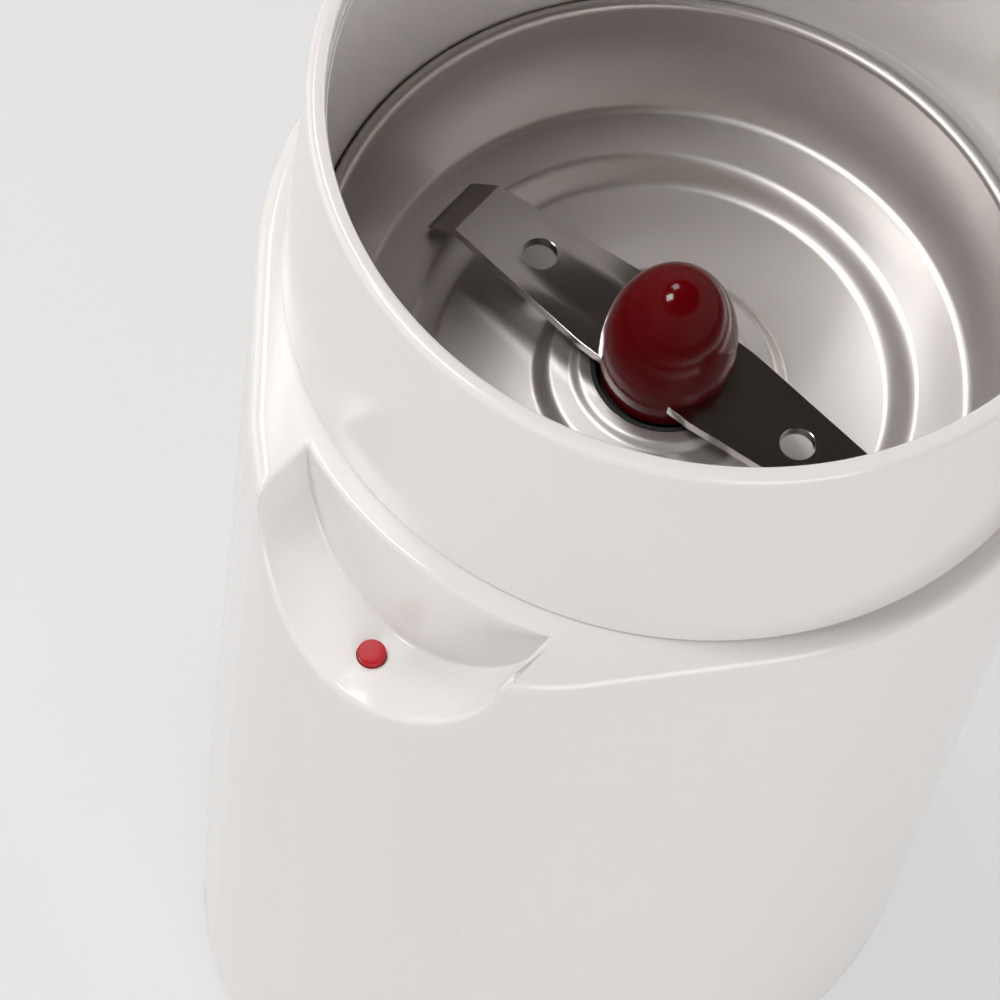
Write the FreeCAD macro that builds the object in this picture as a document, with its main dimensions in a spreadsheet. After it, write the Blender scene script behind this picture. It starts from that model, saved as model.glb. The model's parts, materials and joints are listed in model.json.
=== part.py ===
import FreeCAD, Part
import math
import os
import Sketcher

# Driving dimensions, in millimetres unless the name says degrees or count.
# The origin is on the blade axis at the base plane, the nose points to -Y and the blade lies nearly along X.
SIZES = {
    # Body casing, seen from above: a main circle round the collar and a smaller nose circle round the pin
    "foot_height": 3.0,
    "ledge_level": 110.0,
    "ledge_width": 2.4,
    "nose_radius": 26.85,
    "nose_lip": 5.12,
    "base_draft": 1.0,
    "housing_wall": 2.0,
    "ledge_round": 1.4,
    "base_round": 1.2,
    # Seat for the lid's tab, a half-round trough cut into the nose
    "recess_radius": 14.7,
    "recess_back_width": 2.25,
    # Collar round the bowl
    "collar_height": 29.5,
    "collar_bore_radius": 36.5,
    "collar_wall": 1.8,
    "collar_spread": 0.4,
    "collar_rim_round": 0.8,
    "collar_lip_height": 3.2,
    "collar_lip_step": 0.35,
    "collar_groove": 0.3,
    "skirt_wall": 1.0,
    "skirt_depth": 26.5,
    "skirt_clearance": 0.2,
    "seat_width": 0.75,
    "lug_grip": 0.5,
    "lug_height": 2.0,
    "lug_width": 8.0,
    # Steel bowl
    "bowl_rim_drop": 33.0,
    "bowl_clearance": 0.15,
    "bowl_gauge": 0.6,
    "bowl_roll_radius": 0.8,
    "bowl_hem": 1.0,
    "bowl_wall_round": 12.0,
    "bowl_toe_round": 1.5,
    "bowl_knee_degrees": 45.0,
    "bowl_step_radius": 25.6,
    "bowl_step_depth": 12.7,
    "bowl_floor_radius": 22.3,
    "bowl_floor_depth": 14.9,
    "bowl_boss_radius": 13.0,
    "bowl_shoulder_radius": 11.0,
    "bowl_shoulder_height": 1.5,
    "bowl_neck_radius": 9.4,
    "bowl_boss_top_radius": 8.2,
    "bowl_boss_height": 2.1,
    "bowl_hole_radius": 7.2,
    "gasket_height": 1.0,
    # Blade and hub
    "blade_lift": 2.8,
    "blade_gauge": 1.2,
    "blade_half_length": 24.1,
    "blade_root_width": 10.6,
    "blade_tip_width": 7.0,
    "blade_tip_length": 3.4,
    "blade_tip_degrees": 42.0,
    "blade_hole_radius": 1.75,
    "blade_hole_distance": 16.1,
    "blade_turn_degrees": 1.2,
    "hub_radius": 6.73,
    "hub_waist_height": 0.2,
    "hub_dome_height": 11.7,
    "hub_skirt_height": 3.5,
    "hub_foot_radius": 6.2,
    "foot_ease": 0.6,
    "insert_radius": 4.5,
    "insert_height": 6.0,
    # Shaft and bearings
    "shaft_radius": 3.0,
    "spindle_radius": 2.5,
    "bearing_radius": 5.0,
    "bearing_height": 8.0,
    "bearing_running_gap": 0.04,
    "fit_gap": 0.05,
    "part_gap": 0.3,
    "tube_wall": 2.0,
    "felt_height": 0.8,
    "seal_stand": 0.1,
    "seal_lip": 0.4,
    "seal_depth": 1.4,
    # Motor plate under the bowl
    "motor_plate_thickness": 3.5,
    "plate_screw_inset": 4.6,
    "plate_boss_height": 4.3,
    # Field core, a laminated frame with two poles
    "field_length_x": 60.0,
    "field_width_y": 54.0,
    "field_corner_radius": 12.0,
    "field_yoke": 6.5,
    "upper_post_length": 15.5,
    "field_bore_radius": 16.4,
    "pole_shoe_thickness": 3.0,
    "pole_shoe_width": 29.0,
    "pole_neck_width": 16.0,
    "coil_thickness": 5.2,
    "coil_clearance": 0.2,
    # Armature
    "armature_gap": 0.4,
    "slot_count": 12,
    "slot_depth": 6.5,
    "slot_width": 2.2,
    "winding_overhang": 6.5,
    "winding_radius": 14.2,
    "commutator_radius": 9.0,
    "commutator_lift": 3.0,
    "commutator_height": 13.0,
    "commutator_bar_count": 24,
    "fan_radius": 18.4,
    "fan_drop": 2.0,
    "fan_height": 6.0,
    "fan_blade_count": 9,
    "fan_blade_thickness": 1.3,
    # Lower bracket and motor bolts
    "bracket_level": 18.5,
    "lower_post_length": 23.5,
    "bracket_thickness": 3.0,
    "bracket_radius": 29.0,
    "bolt_circle": 23.7,
    "post_radius": 3.9,
    "bolt_radius": 2.0,
    "bolt_head_height": 2.4,
    # Brushes
    "brush_lift": 9.0,
    "brush_width": 6.0,
    "brush_height": 5.0,
    "brush_length": 11.0,
    "holder_wall": 1.4,
    "holder_length": 18.0,
    "brush_wire_radius": 0.3,
    # Lid switch
    "pin_radius": 1.38,
    "pin_clearance": 0.1,
    "pin_inset": 3.45,
    "pin_stand": 0.8,
    "pin_flange_radius": 2.3,
    "pin_flange_height": 1.5,
    "pin_stub": 1.5,
    "guide_radius": 3.3,
    "guide_depth": 2.0,
    "rod_radius": 1.6,
    "rod_length": 16.0,
    "rod_tip_radius": 0.9,
    "rod_collar_radius": 2.4,
    "rod_collar_drop": 4.5,
    "rod_collar_height": 1.5,
    "return_spring_length": 7.0,
    "spring_seat_thickness": 1.5,
    "spring_seat_reach": 2.0,
    "spring_wire_radius": 0.3,
    "spring_turns": 4,
    "switch_drop": 3.8,
    "switch_height": 6.5,
    "switch_width": 5.8,
    "switch_length": 12.8,
    "switch_reach": 1.3,
    "lever_thickness": 0.4,
    "lever_width": 4.0,
    "lever_length": 10.3,
    "lever_degrees": 12.0,
    "lever_barrel_radius": 0.8,
    "lever_pivot_radius": 0.4,
    "lever_pivot_lift": 1.2,
    "lever_arm": 9.9,
    "plunger_radius": 0.8,
    "plunger_inset": 3.3,
    "plunger_stand": 1.7,
    "plunger_depth": 1.4,
    "web_thickness": 2.0,
    # Base cover, feet, screws and cord gland
    "cover_thickness": 3.0,
    "cover_gap": 0.3,
    "vent_count": 14,
    "vent_width": 2.4,
    "vent_length": 12.0,
    "vent_circle": 11.0,
    "screw_radius": 1.5,
    "screw_head_radius": 2.8,
    "screw_head_height": 1.6,
    "base_boss_radius": 4.6,
    "base_boss_inset": 6.5,
    "base_boss_height": 8.0,
    "base_screw_length": 8.5,
    "foot_radius": 5.6,
    "foot_stud_radius": 2.0,
    "rear_foot_inset": 9.2,
    "front_foot_spread": 13.0,
    "front_foot_inset": 10.4,
    "gland_level": 18.0,
    "gland_radius": 5.5,
    "gland_flange_radius": 7.4,
    "gland_flange": 1.8,
    "gland_inner_gap": 0.6,
    "cord_hole_radius": 3.3,
    # How far a cutting shape stands out past the piece it cuts
    "cut_margin": 10.0,
}

REAR_FOOT_ANGLES = (58, 122)
BASE_SCREW_ANGLES = (35, 145, 215, 325)
PLATE_SCREW_ANGLES = (90, 210, 330)
LUG_ANGLES = (45, 135, 225, 315)
SIDES = (("left", -1), ("right", 1))

doc = FreeCAD.newDocument("spice_grinder")
sheet = doc.addObject("Spreadsheet::Sheet", "Sizes")
for row, (word, number) in enumerate(SIZES.items(), start=1):
    sheet.set(f"A{row}", word)
    sheet.set(f"B{row}", str(number))
    sheet.setAlias(f"B{row}", word)
doc.recompute()


class Size:
    """A length that carries both its number and the spreadsheet formula behind it."""

    def __init__(self, formula, value):
        self.formula = formula
        self.value = value

    def __add__(self, other):
        other = size(other)
        return Size(f"({self.formula} + {other.formula})", self.value + other.value)

    def __radd__(self, other):
        return size(other) + self

    def __sub__(self, other):
        other = size(other)
        return Size(f"({self.formula} - {other.formula})", self.value - other.value)

    def __rsub__(self, other):
        return size(other) - self

    def __mul__(self, factor):
        factor = size(factor)
        return Size(f"({self.formula} * {factor.formula})", self.value * factor.value)

    def __rmul__(self, factor):
        return self * factor

    def __truediv__(self, divisor):
        divisor = size(divisor)
        return Size(f"({self.formula} / {divisor.formula})", self.value / divisor.value)

    def __neg__(self):
        return Size(f"(0 - {self.formula})", -self.value)


def size(number):
    """Take a plain number or a Size and give a Size."""
    return number if isinstance(number, Size) else Size(f"{number:.9g}", float(number))


class Named:
    """The driving dimensions as attributes, one Size each."""


S = Named()
for word, number in SIZES.items():
    setattr(S, word, Size(f"Sizes.{word}", float(number)))

parts = []


def bind(thing, prop, length):
    thing.setExpression(prop, size(length).formula)


def place(thing, x=0, y=0, z=0, turn=None):
    """Move a thing to a point given by sizes, after an optional turn (axis, degrees)."""
    if turn is not None:
        thing.Placement = FreeCAD.Placement(FreeCAD.Vector(), FreeCAD.Rotation(FreeCAD.Vector(*turn[0]), turn[1]))
    for axis, length in zip("xyz", (x, y, z)):
        bind(thing, f"Placement.Base.{axis}", length)
    return thing


def keep(thing, name):
    """Name a finished sub-part and put it on the list of files."""
    thing.Label = name
    parts.append(thing)
    return thing


def polar(radius, degrees):
    """The x and y of a point at a radius and an angle from +X."""
    return radius * math.cos(math.radians(degrees)), radius * math.sin(math.radians(degrees))


# Sketches: outlines whose every corner is held by sizes

def body_plane(body, role):
    return next(o for o in body.Origin.OriginFeatures if o.Role == role)


def new_sketch(body, role, height=0):
    sketch = body.newObject("Sketcher::SketchObject", body.Name + "_sketch")
    sketch.AttachmentSupport = (body_plane(body, role), [""])
    sketch.MapMode = "FlatFace"
    bind(sketch, "AttachmentOffset.Base.z", height)
    return sketch


def hold(sketch, kind, args, length):
    """Add one dimension to a sketch and bind it to its formula."""
    index = sketch.addConstraint(Sketcher.Constraint(kind, *args, length.value))
    sketch.renameConstraint(index, f"held{index}")
    sketch.setExpression(f"Constraints.held{index}", length.formula)


def arc_through(start, end, radius):
    """The minor arc between two points, turning left for a radius above 0, with its two end numbers."""
    chord = end - start
    middle = (start + end) * 0.5
    reach = math.sqrt(max(radius * radius - (chord.Length / 2) ** 2, 0.0))
    side = FreeCAD.Vector(-chord.y, chord.x, 0).normalize() * (reach if radius > 0 else -reach)
    centre = middle + side
    first, last = (start, end) if radius > 0 else (end, start)
    angles = [math.atan2(p.y - centre.y, p.x - centre.x) for p in (first, last)]
    circle = Part.Circle(centre, FreeCAD.Vector(0, 0, 1), abs(radius))
    return Part.ArcOfCircle(circle, angles[0], angles[1]), ((1, 2) if radius > 0 else (2, 1))


def draw(sketch, corners):
    """Draw a closed outline through (x, y) corners; a third number makes the edge that ends there an arc."""
    points = [FreeCAD.Vector(size(c[0]).value, size(c[1]).value, 0) for c in corners]
    ends = []
    for i, start in enumerate(points):
        corner = corners[(i + 1) % len(corners)]
        end = points[(i + 1) % len(corners)]
        if len(corner) == 3:
            radius = size(corner[2])
            curve, order = arc_through(start, end, radius.value)
            edge = sketch.addGeometry(curve)
            hold(sketch, "Radius", (edge,), radius if radius.value > 0 else -radius)
        else:
            edge, order = sketch.addGeometry(Part.LineSegment(start, end)), (1, 2)
        ends.append((edge, order))
    for i, (edge, order) in enumerate(ends):
        before, before_order = ends[i - 1]
        sketch.addConstraint(Sketcher.Constraint("Coincident", before, before_order[1], edge, order[0]))
        for kind, length in zip(("DistanceX", "DistanceY"), corners[i]):
            hold(sketch, kind, (-1, 1, edge, order[0]), size(length))


def draw_hull(sketch, main, nose, centre):
    """Draw the outline round a main circle at the origin and a nose circle in front of it."""
    lean = math.acos((main.value - nose.value) / centre.value)
    aft = FreeCAD.Vector(0, -centre.value, 0)
    low, high = -math.pi / 2 - lean, -math.pi / 2 + lean
    up = FreeCAD.Vector(0, 0, 1)
    big = sketch.addGeometry(Part.ArcOfCircle(Part.Circle(FreeCAD.Vector(), up, main.value), high, low + 2 * math.pi))
    small = sketch.addGeometry(Part.ArcOfCircle(Part.Circle(aft, up, nose.value), low, high))

    def at(middle, radius, angle):
        return middle + FreeCAD.Vector(math.cos(angle), math.sin(angle), 0) * radius

    left = sketch.addGeometry(Part.LineSegment(at(FreeCAD.Vector(), main.value, low), at(aft, nose.value, low)))
    right = sketch.addGeometry(Part.LineSegment(at(aft, nose.value, high), at(FreeCAD.Vector(), main.value, high)))
    sketch.addConstraint(Sketcher.Constraint("Coincident", big, 3, -1, 1))
    sketch.addConstraint(Sketcher.Constraint("PointOnObject", small, 3, -2))
    for first, second in (((big, 2), (left, 1)), ((left, 2), (small, 1)), ((small, 2), (right, 1)), ((right, 2), (big, 1))):
        sketch.addConstraint(Sketcher.Constraint("Tangent", *first, *second))
    hold(sketch, "Radius", (big,), main)
    hold(sketch, "Radius", (small,), nose)
    hold(sketch, "DistanceY", (-1, 1, small, 3), -centre)


# Solids: turned, cut from plate, and simple shapes added to or taken from a body

def new_body(name):
    return doc.addObject("PartDesign::Body", name)


def lathe(name, corners):
    """Turn an outline of (radius, height) corners about the vertical axis."""
    body = new_body(name)
    sketch = new_sketch(body, "XZ_Plane")
    draw(sketch, corners)
    turned = body.newObject("PartDesign::Revolution", name + "_turned")
    turned.Profile = sketch
    turned.ReferenceAxis = (sketch, ["V_Axis"])
    turned.Angle = 360
    return body


def tube(name, inner, outer, bottom, top):
    return lathe(name, [(inner, bottom), (outer, bottom), (outer, top), (inner, top)])


def plate(name, corners, bottom, height, role="XY_Plane"):
    """Raise an outline from a plane."""
    body = new_body(name)
    sketch = new_sketch(body, role, bottom)
    draw(sketch, corners)
    raised = body.newObject("PartDesign::Pad", name + "_raised")
    raised.Profile = sketch
    bind(raised, "Length", height)
    return body


def rectangle(x0, x1, y0, y1):
    return [(x0, y0), (x1, y0), (x1, y1), (x0, y1)]


def feature(body, kind, lengths, x=0, y=0, z=0, turn=None):
    """Add or take away a primitive, such as AdditiveBox or SubtractiveCylinder, at a point."""
    item = body.newObject("PartDesign::" + kind, body.Name + "_" + kind)
    for prop, length in lengths.items():
        bind(item, prop, length)
    return place(item, x, y, z, turn)


def peg(body, radius, height, x=0, y=0, z=0, turn=None):
    return feature(body, "AdditiveCylinder", {"Radius": radius, "Height": height}, x, y, z, turn)


def drill(body, radius, height, x=0, y=0, z=0, turn=None):
    return feature(body, "SubtractiveCylinder", {"Radius": radius, "Height": height}, x, y, z, turn)


def block(body, x0, x1, y0, y1, z0, z1, kind="AdditiveBox"):
    spans = {"Length": size(x1) - x0, "Width": size(y1) - y0, "Height": size(z1) - z0}
    return feature(body, kind, spans, x0, y0, z0)


def round_edges(body, radius, chosen):
    """Round the edges of a body that a test picks out."""
    doc.recompute()
    base = body.Tip
    names = [f"Edge{i}" for i, edge in enumerate(base.Shape.Edges, start=1) if chosen(edge)]
    rounded = body.newObject("PartDesign::Fillet", body.Name + "_round")
    rounded.Base = (base, names)
    bind(rounded, "Radius", radius)
    doc.recompute()


def repeat(body, item, count):
    """Copy a feature round the vertical axis."""
    pattern = body.newObject("PartDesign::PolarPattern", body.Name + "_pattern")
    pattern.Originals = [item]
    pattern.Axis = (body_plane(body, "Z_Axis"), [""])
    pattern.Angle = 360
    bind(pattern, "Occurrences", count)
    body.Tip = pattern
    return pattern


def cylinder(name, radius, height, x=0, y=0, z=0, turn=None):
    """A cylinder used only as a tool for cutting or joining."""
    item = doc.addObject("Part::Cylinder", name)
    bind(item, "Radius", radius)
    bind(item, "Height", height)
    return place(item, x, y, z, turn)


def box(name, x0, x1, y0, y1, z0, z1):
    """A box used only as a tool for cutting or joining."""
    item = doc.addObject("Part::Box", name)
    for prop, low, high in (("Length", x0, x1), ("Width", y0, y1), ("Height", z0, z1)):
        bind(item, prop, size(high) - low)
    return place(item, x0, y0, z0)


def cut(name, base, tool):
    item = doc.addObject("Part::Cut", name)
    item.Base = base
    item.Tool = tool
    return item


def common(name, first, second):
    item = doc.addObject("Part::Common", name)
    item.Base = first
    item.Tool = second
    return item


def fuse(name, items):
    item = doc.addObject("Part::MultiFuse", name)
    item.Shapes = items
    return item


def group(name, items):
    """Several like solids as one sub-part."""
    item = doc.addObject("Part::Compound", name)
    item.Links = items
    return item


def draft_at(level):
    """How far the casing's wall has moved in at a level."""
    return S.base_draft * (S.ledge_level - level) / casing_climb


def hull_solid(name, inset, low, high, round_top=None, round_base=None):
    """A solid with the casing's outline, a little wider at the ledge than at the base, set in by a wall."""
    body = new_body(name)
    inset = inset + draft_at(low)
    sketch = new_sketch(body, "XY_Plane", low)
    draw_hull(sketch, S.main_radius - inset, S.nose_radius - inset, S.nose_centre)
    raised = body.newObject("PartDesign::Pad", name + "_raised")
    raised.Profile = sketch
    bind(raised, "Length", high - low)
    raised.setExpression("TaperAngle", f"atan({S.base_draft.formula} / {casing_climb.formula})")
    for level, radius in ((high, round_top), (low, round_base)):
        if radius is not None:
            flat = level.value
            round_edges(body, radius, lambda edge: all(abs(v.Z - flat) < 1e-4 for v in edge.Vertexes))
    return body


def coil_spring(name, radius, wire, height, turns):
    """A round-wire compression spring standing on the origin, as a pipe along a helix."""
    radius, wire, height = (size(length).value for length in (radius, wire, height))
    helix = Part.makeHelix(height / turns, height, radius)
    start = FreeCAD.Vector(radius, 0, 0)
    pitch_angle = math.atan2(height / turns, 2 * math.pi * radius)
    along = FreeCAD.Vector(0, math.cos(pitch_angle), math.sin(pitch_angle))
    section = Part.Wire([Part.Circle(start, along, wire).toShape()])
    pipe = Part.Wire(helix.Edges).makePipeShell([section], True, True)
    item = doc.addObject("Part::Feature", name)
    item.Shape = pipe
    return item


def machine_screw(name, x, y, z, length, shank=None, head=None, head_height=None, turn=None):
    """A screw with its head below the given point and its shank going up, and a cross slot."""
    shank = shank or S.screw_radius
    head = head or S.screw_head_radius
    head_height = head_height or S.screw_head_height
    edge = head_height * 0.35
    body = lathe(name, [
        (0, -head_height), (head - edge, -head_height), (head, edge - head_height, edge),
        (head, 0), (shank, 0), (shank, length - shank / 2), (shank / 2, length), (0, length)])
    arm, slot = head * 0.65, shank * 0.2
    block(body, -arm, arm, -slot, slot, -head_height, -head_height * 0.4, "SubtractiveBox")
    block(body, -slot, slot, -arm, arm, -head_height, -head_height * 0.4, "SubtractiveBox")
    return place(body, x, y, z, turn)


# Plan sizes that follow from the collar, the recess and the lid switch
S.collar_base_radius = S.collar_bore_radius + S.collar_wall + S.collar_spread
S.skirt_radius = S.collar_bore_radius + S.skirt_wall
S.main_radius = S.collar_base_radius + S.ledge_width
S.recess_back_radius = S.collar_base_radius + S.recess_back_width
S.pin_distance = S.recess_back_radius + S.pin_inset
S.nose_centre = S.pin_distance + S.nose_lip - S.nose_radius
S.motor_plate_radius = S.skirt_radius - 0.1
S.plate_screw_circle = S.skirt_radius - S.plate_screw_inset
S.base_boss_circle = S.main_radius - S.base_boss_inset
S.switch_front = S.pin_distance + S.switch_reach
S.plunger_distance = S.pin_distance - S.plunger_inset
S.lever_pivot_distance = S.pin_distance - S.lever_arm

# Levels and radii that several pieces share
casing_climb = S.ledge_level - S.foot_height
rim_level = S.ledge_level + S.collar_height
collar_inner = S.collar_bore_radius - S.collar_lip_step
skirt_bottom = S.ledge_level - S.skirt_depth
bowl_rim_level = rim_level - S.bowl_rim_drop
bowl_rim_radius = collar_inner - S.bowl_clearance
bowl_wall_radius = bowl_rim_radius - S.bowl_roll_radius * 2
seat_level = bowl_rim_level - S.bowl_roll_radius - S.bowl_hem - S.gasket_height
seat_radius = collar_inner - S.seat_width
step_level = bowl_rim_level - S.bowl_step_depth
floor_level = bowl_rim_level - S.bowl_floor_depth
boss_top = floor_level + S.bowl_boss_height
blade_level = boss_top + S.blade_lift
blade_top = blade_level + S.blade_gauge
skirt_low = blade_level - S.hub_skirt_height
recess_floor = S.ledge_level - S.recess_radius
guide_bottom = recess_floor - S.housing_wall - S.guide_depth
plate_bottom = skirt_bottom - S.motor_plate_thickness
bearing_seat = plate_bottom + 1.0
felt_bottom = bearing_seat + S.bearing_height
bearing_tube_radius = S.bearing_radius + S.fit_gap + S.tube_wall
bearing_tube_top = felt_bottom + S.felt_height
field_top = plate_bottom - S.upper_post_length
bracket_top = S.bracket_level
bracket_bottom = bracket_top - S.bracket_thickness
field_bottom = bracket_top + S.lower_post_length
field_height = field_top - field_bottom
armature_radius = S.field_bore_radius - S.armature_gap
commutator_bottom = bracket_top + S.commutator_lift
brush_level = bracket_top + S.brush_lift
fan_bottom = plate_bottom - S.fan_drop - S.fan_height
lower_bearing_bottom = bracket_top - S.bearing_height - 1.0
shaft_bottom = lower_bearing_bottom + S.part_gap
shaft_hole = S.shaft_radius + S.fit_gap
running_hole = S.shaft_radius + S.bearing_running_gap
cover_top = S.foot_height + S.cover_thickness
nose_front = S.nose_centre + S.nose_radius
reach = nose_front + S.cut_margin
pin_flange_top = guide_bottom - S.part_gap
pin_bottom = pin_flange_top - S.pin_flange_height - S.pin_stub
rod_bottom = pin_bottom - S.rod_length
rod_collar_bottom = pin_bottom - S.rod_collar_drop - S.rod_collar_height
spring_seat = rod_collar_bottom - S.return_spring_length
switch_top = rod_bottom - S.switch_drop
switch_bottom = switch_top - S.switch_height
pivot_level = switch_top + S.lever_pivot_lift


# Casing

def make_housing():
    outer = hull_solid("casing_outer", size(0), S.foot_height, S.ledge_level, S.ledge_round, S.base_round)
    cavity = hull_solid("casing_cavity", S.housing_wall, S.foot_height - 1, S.ledge_level - S.housing_wall)
    forward = ((1, 0, 0), 90)
    trough = cylinder("trough", S.recess_radius + S.housing_wall, reach, z=S.ledge_level, turn=forward)
    core = cylinder("trough_core", S.recess_back_radius - S.housing_wall, S.ledge_level)
    guide = cylinder("pin_guide", S.guide_radius, S.guide_depth + S.housing_wall,
                     y=-S.pin_distance, z=guide_bottom)
    bosses = []
    for angle in BASE_SCREW_ANGLES:
        x, y = polar(S.base_boss_circle, angle)
        bosses.append(cylinder("base_boss", S.base_boss_radius, S.base_boss_height, x, y, cover_top))
    hollow = cut("casing_hollow", cavity, cut("trough_wall", trough, core))
    shell = fuse("casing_shell", [cut("casing_walls", outer, hollow), guide] + bosses)
    scoop = cylinder("recess_scoop", S.recess_radius, reach, z=S.ledge_level, turn=forward)
    scoop_core = cylinder("recess_core", S.recess_back_radius, S.ledge_level + S.recess_radius)
    mouth = cylinder("collar_mouth", S.skirt_radius + S.skirt_clearance, S.skirt_depth,
                     z=S.ledge_level - S.housing_wall * 2)
    pin_hole = cylinder("pin_hole", S.pin_radius + S.pin_clearance, S.recess_radius,
                        y=-S.pin_distance, z=guide_bottom - 1)
    backward = ((1, 0, 0), -90)
    gland_hole = cylinder("gland_hole", S.gland_radius, reach, z=S.gland_level, turn=backward)
    holes = [cut("recess", scoop, scoop_core), mouth, pin_hole, gland_hole]
    for angle in BASE_SCREW_ANGLES:
        x, y = polar(S.base_boss_circle, angle)
        holes.append(cylinder("boss_hole", S.screw_radius + S.fit_gap, S.base_screw_length, x, y, cover_top - 1))
    keep(cut("housing_cut", shell, fuse("casing_holes", holes)), "housing")


def make_collar():
    rim_outer = S.collar_bore_radius + S.collar_wall
    top_inner = S.collar_rim_round * 0.6
    collar = lathe("collar", [
        (S.collar_bore_radius + top_inner, rim_level),
        (S.collar_bore_radius, rim_level - top_inner, top_inner),
        (S.collar_bore_radius, rim_level - S.collar_lip_height),
        (collar_inner, rim_level - S.collar_lip_height),
        (collar_inner, seat_level),
        (seat_radius, seat_level),
        (seat_radius, skirt_bottom),
        (S.skirt_radius, skirt_bottom),
        (S.skirt_radius, S.ledge_level),
        (S.collar_base_radius - S.collar_groove, S.ledge_level),
        (S.collar_base_radius, S.ledge_level + S.collar_groove),
        (rim_outer, rim_level - S.collar_rim_round),
        (rim_outer - S.collar_rim_round, rim_level, S.collar_rim_round),
    ])
    for angle in PLATE_SCREW_ANGLES:
        x, y = polar(S.plate_screw_circle, angle)
        peg(collar, S.screw_radius + 1.3, S.plate_boss_height, x, y, skirt_bottom)
    for angle in PLATE_SCREW_ANGLES:
        x, y = polar(S.plate_screw_circle, angle)
        drill(collar, S.screw_radius + S.fit_gap, S.plate_boss_height - 0.8, x, y, skirt_bottom)
    lug_top = S.ledge_level - S.housing_wall - S.fit_gap
    for angle in LUG_ANGLES:
        lug = feature(collar, "AdditiveBox", {"Length": S.lug_grip + 0.5, "Width": S.lug_width, "Height": S.lug_height})
        turn_lug(lug, angle, S.skirt_radius - 0.5, lug_top - S.lug_height)
    keep(collar, "collar")


def turn_lug(lug, angle, radius, level):
    """Set a box against a cylinder at an angle, centred on its width."""
    across = S.lug_width / 2
    x = radius * math.cos(math.radians(angle)) + across * math.sin(math.radians(angle))
    y = radius * math.sin(math.radians(angle)) - across * math.cos(math.radians(angle))
    place(lug, x, y, level, ((0, 0, 1), angle))


# Steel bowl, one sheet from the rolled rim to the boss round the shaft

OUT, IN, DOWN = (1, 0), (-1, 0), (0, -1)


def sheet_outline(path, gauge):
    """Close a path of (radius, height, side, arc) corners into a sheet, the gauge laid off towards each side."""
    shown = [(x, z, *arc) for x, z, side, *arc in path]
    hidden = []
    for i in reversed(range(len(path))):
        x, z, side = path[i][:3]
        corner = (x + gauge * side[0], z + gauge * side[1])
        if i + 1 < len(path) and len(path[i + 1]) == 4:
            corner += (gauge - path[i + 1][3],)
        hidden.append(corner)
    return shown + hidden


def soft_step(outer, start, inner, end):
    """Path corners of an S-shaped step from one level to the next, level at both of its ends."""
    run, fall = outer - inner, start - end
    bend = (run * run + fall * fall) / (fall * 4)
    lean = 2 * math.atan2(fall.value, run.value)
    side = (math.sin(lean), -math.cos(lean))
    return [((outer + inner) / 2, (start + end) / 2, side, bend), (inner, end, DOWN, -bend)]


def make_bowl():
    roll, sweep, toe = S.bowl_roll_radius, S.bowl_wall_round, S.bowl_toe_round
    knee = math.radians(SIZES["bowl_knee_degrees"])
    knee_out, knee_down = math.cos(knee), math.sin(knee)
    knee_radius, knee_level = bowl_wall_radius - sweep * (1 - knee_out), step_level + toe * (1 - knee_down)
    shoulder = floor_level + S.bowl_shoulder_height
    path = [
        (bowl_rim_radius, bowl_rim_level - roll - S.bowl_hem, IN),
        (bowl_rim_radius, bowl_rim_level - roll, IN),
        (bowl_rim_radius - roll, bowl_rim_level, DOWN, roll),
        (bowl_wall_radius, bowl_rim_level - roll, OUT, roll),
        (bowl_wall_radius, knee_level + sweep * knee_down, OUT),
        (knee_radius, knee_level, (knee_out, -knee_down), -sweep),
        (knee_radius - toe * knee_out, step_level, DOWN, -toe),
        (S.bowl_step_radius, step_level, DOWN),
        *soft_step(S.bowl_step_radius, step_level, S.bowl_floor_radius, floor_level),
        (S.bowl_boss_radius, floor_level, DOWN),
        *soft_step(S.bowl_boss_radius, floor_level, S.bowl_shoulder_radius, shoulder),
        (S.bowl_neck_radius, shoulder, DOWN),
        *soft_step(S.bowl_neck_radius, shoulder, S.bowl_boss_top_radius, boss_top),
        (S.bowl_hole_radius, boss_top, DOWN),
    ]
    keep(lathe("bowl", sheet_outline(path, S.bowl_gauge)), "bowl")
    gap = S.fit_gap
    keep(tube("gasket", seat_radius + gap, collar_inner - gap, seat_level, seat_level + S.gasket_height), "bowl_gasket")
    under = boss_top - S.bowl_gauge - gap
    shaft_side, lip = S.shaft_radius + S.part_gap, S.bowl_hole_radius - gap
    body_side = bearing_tube_radius + S.bowl_gauge
    keep(lathe("seal", [
        (shaft_side, bearing_tube_top), (body_side, bearing_tube_top), (body_side, under), (lip, under),
        (lip, boss_top + S.seal_stand), (lip - S.seal_lip, boss_top + S.seal_stand),
        (lip - S.seal_lip, boss_top - S.seal_depth), (shaft_side, boss_top - S.seal_depth),
    ]), "shaft_seal")


# Blade and hub

BLADE_TURN = ((0, 0, 1), SIZES["blade_turn_degrees"])


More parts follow.
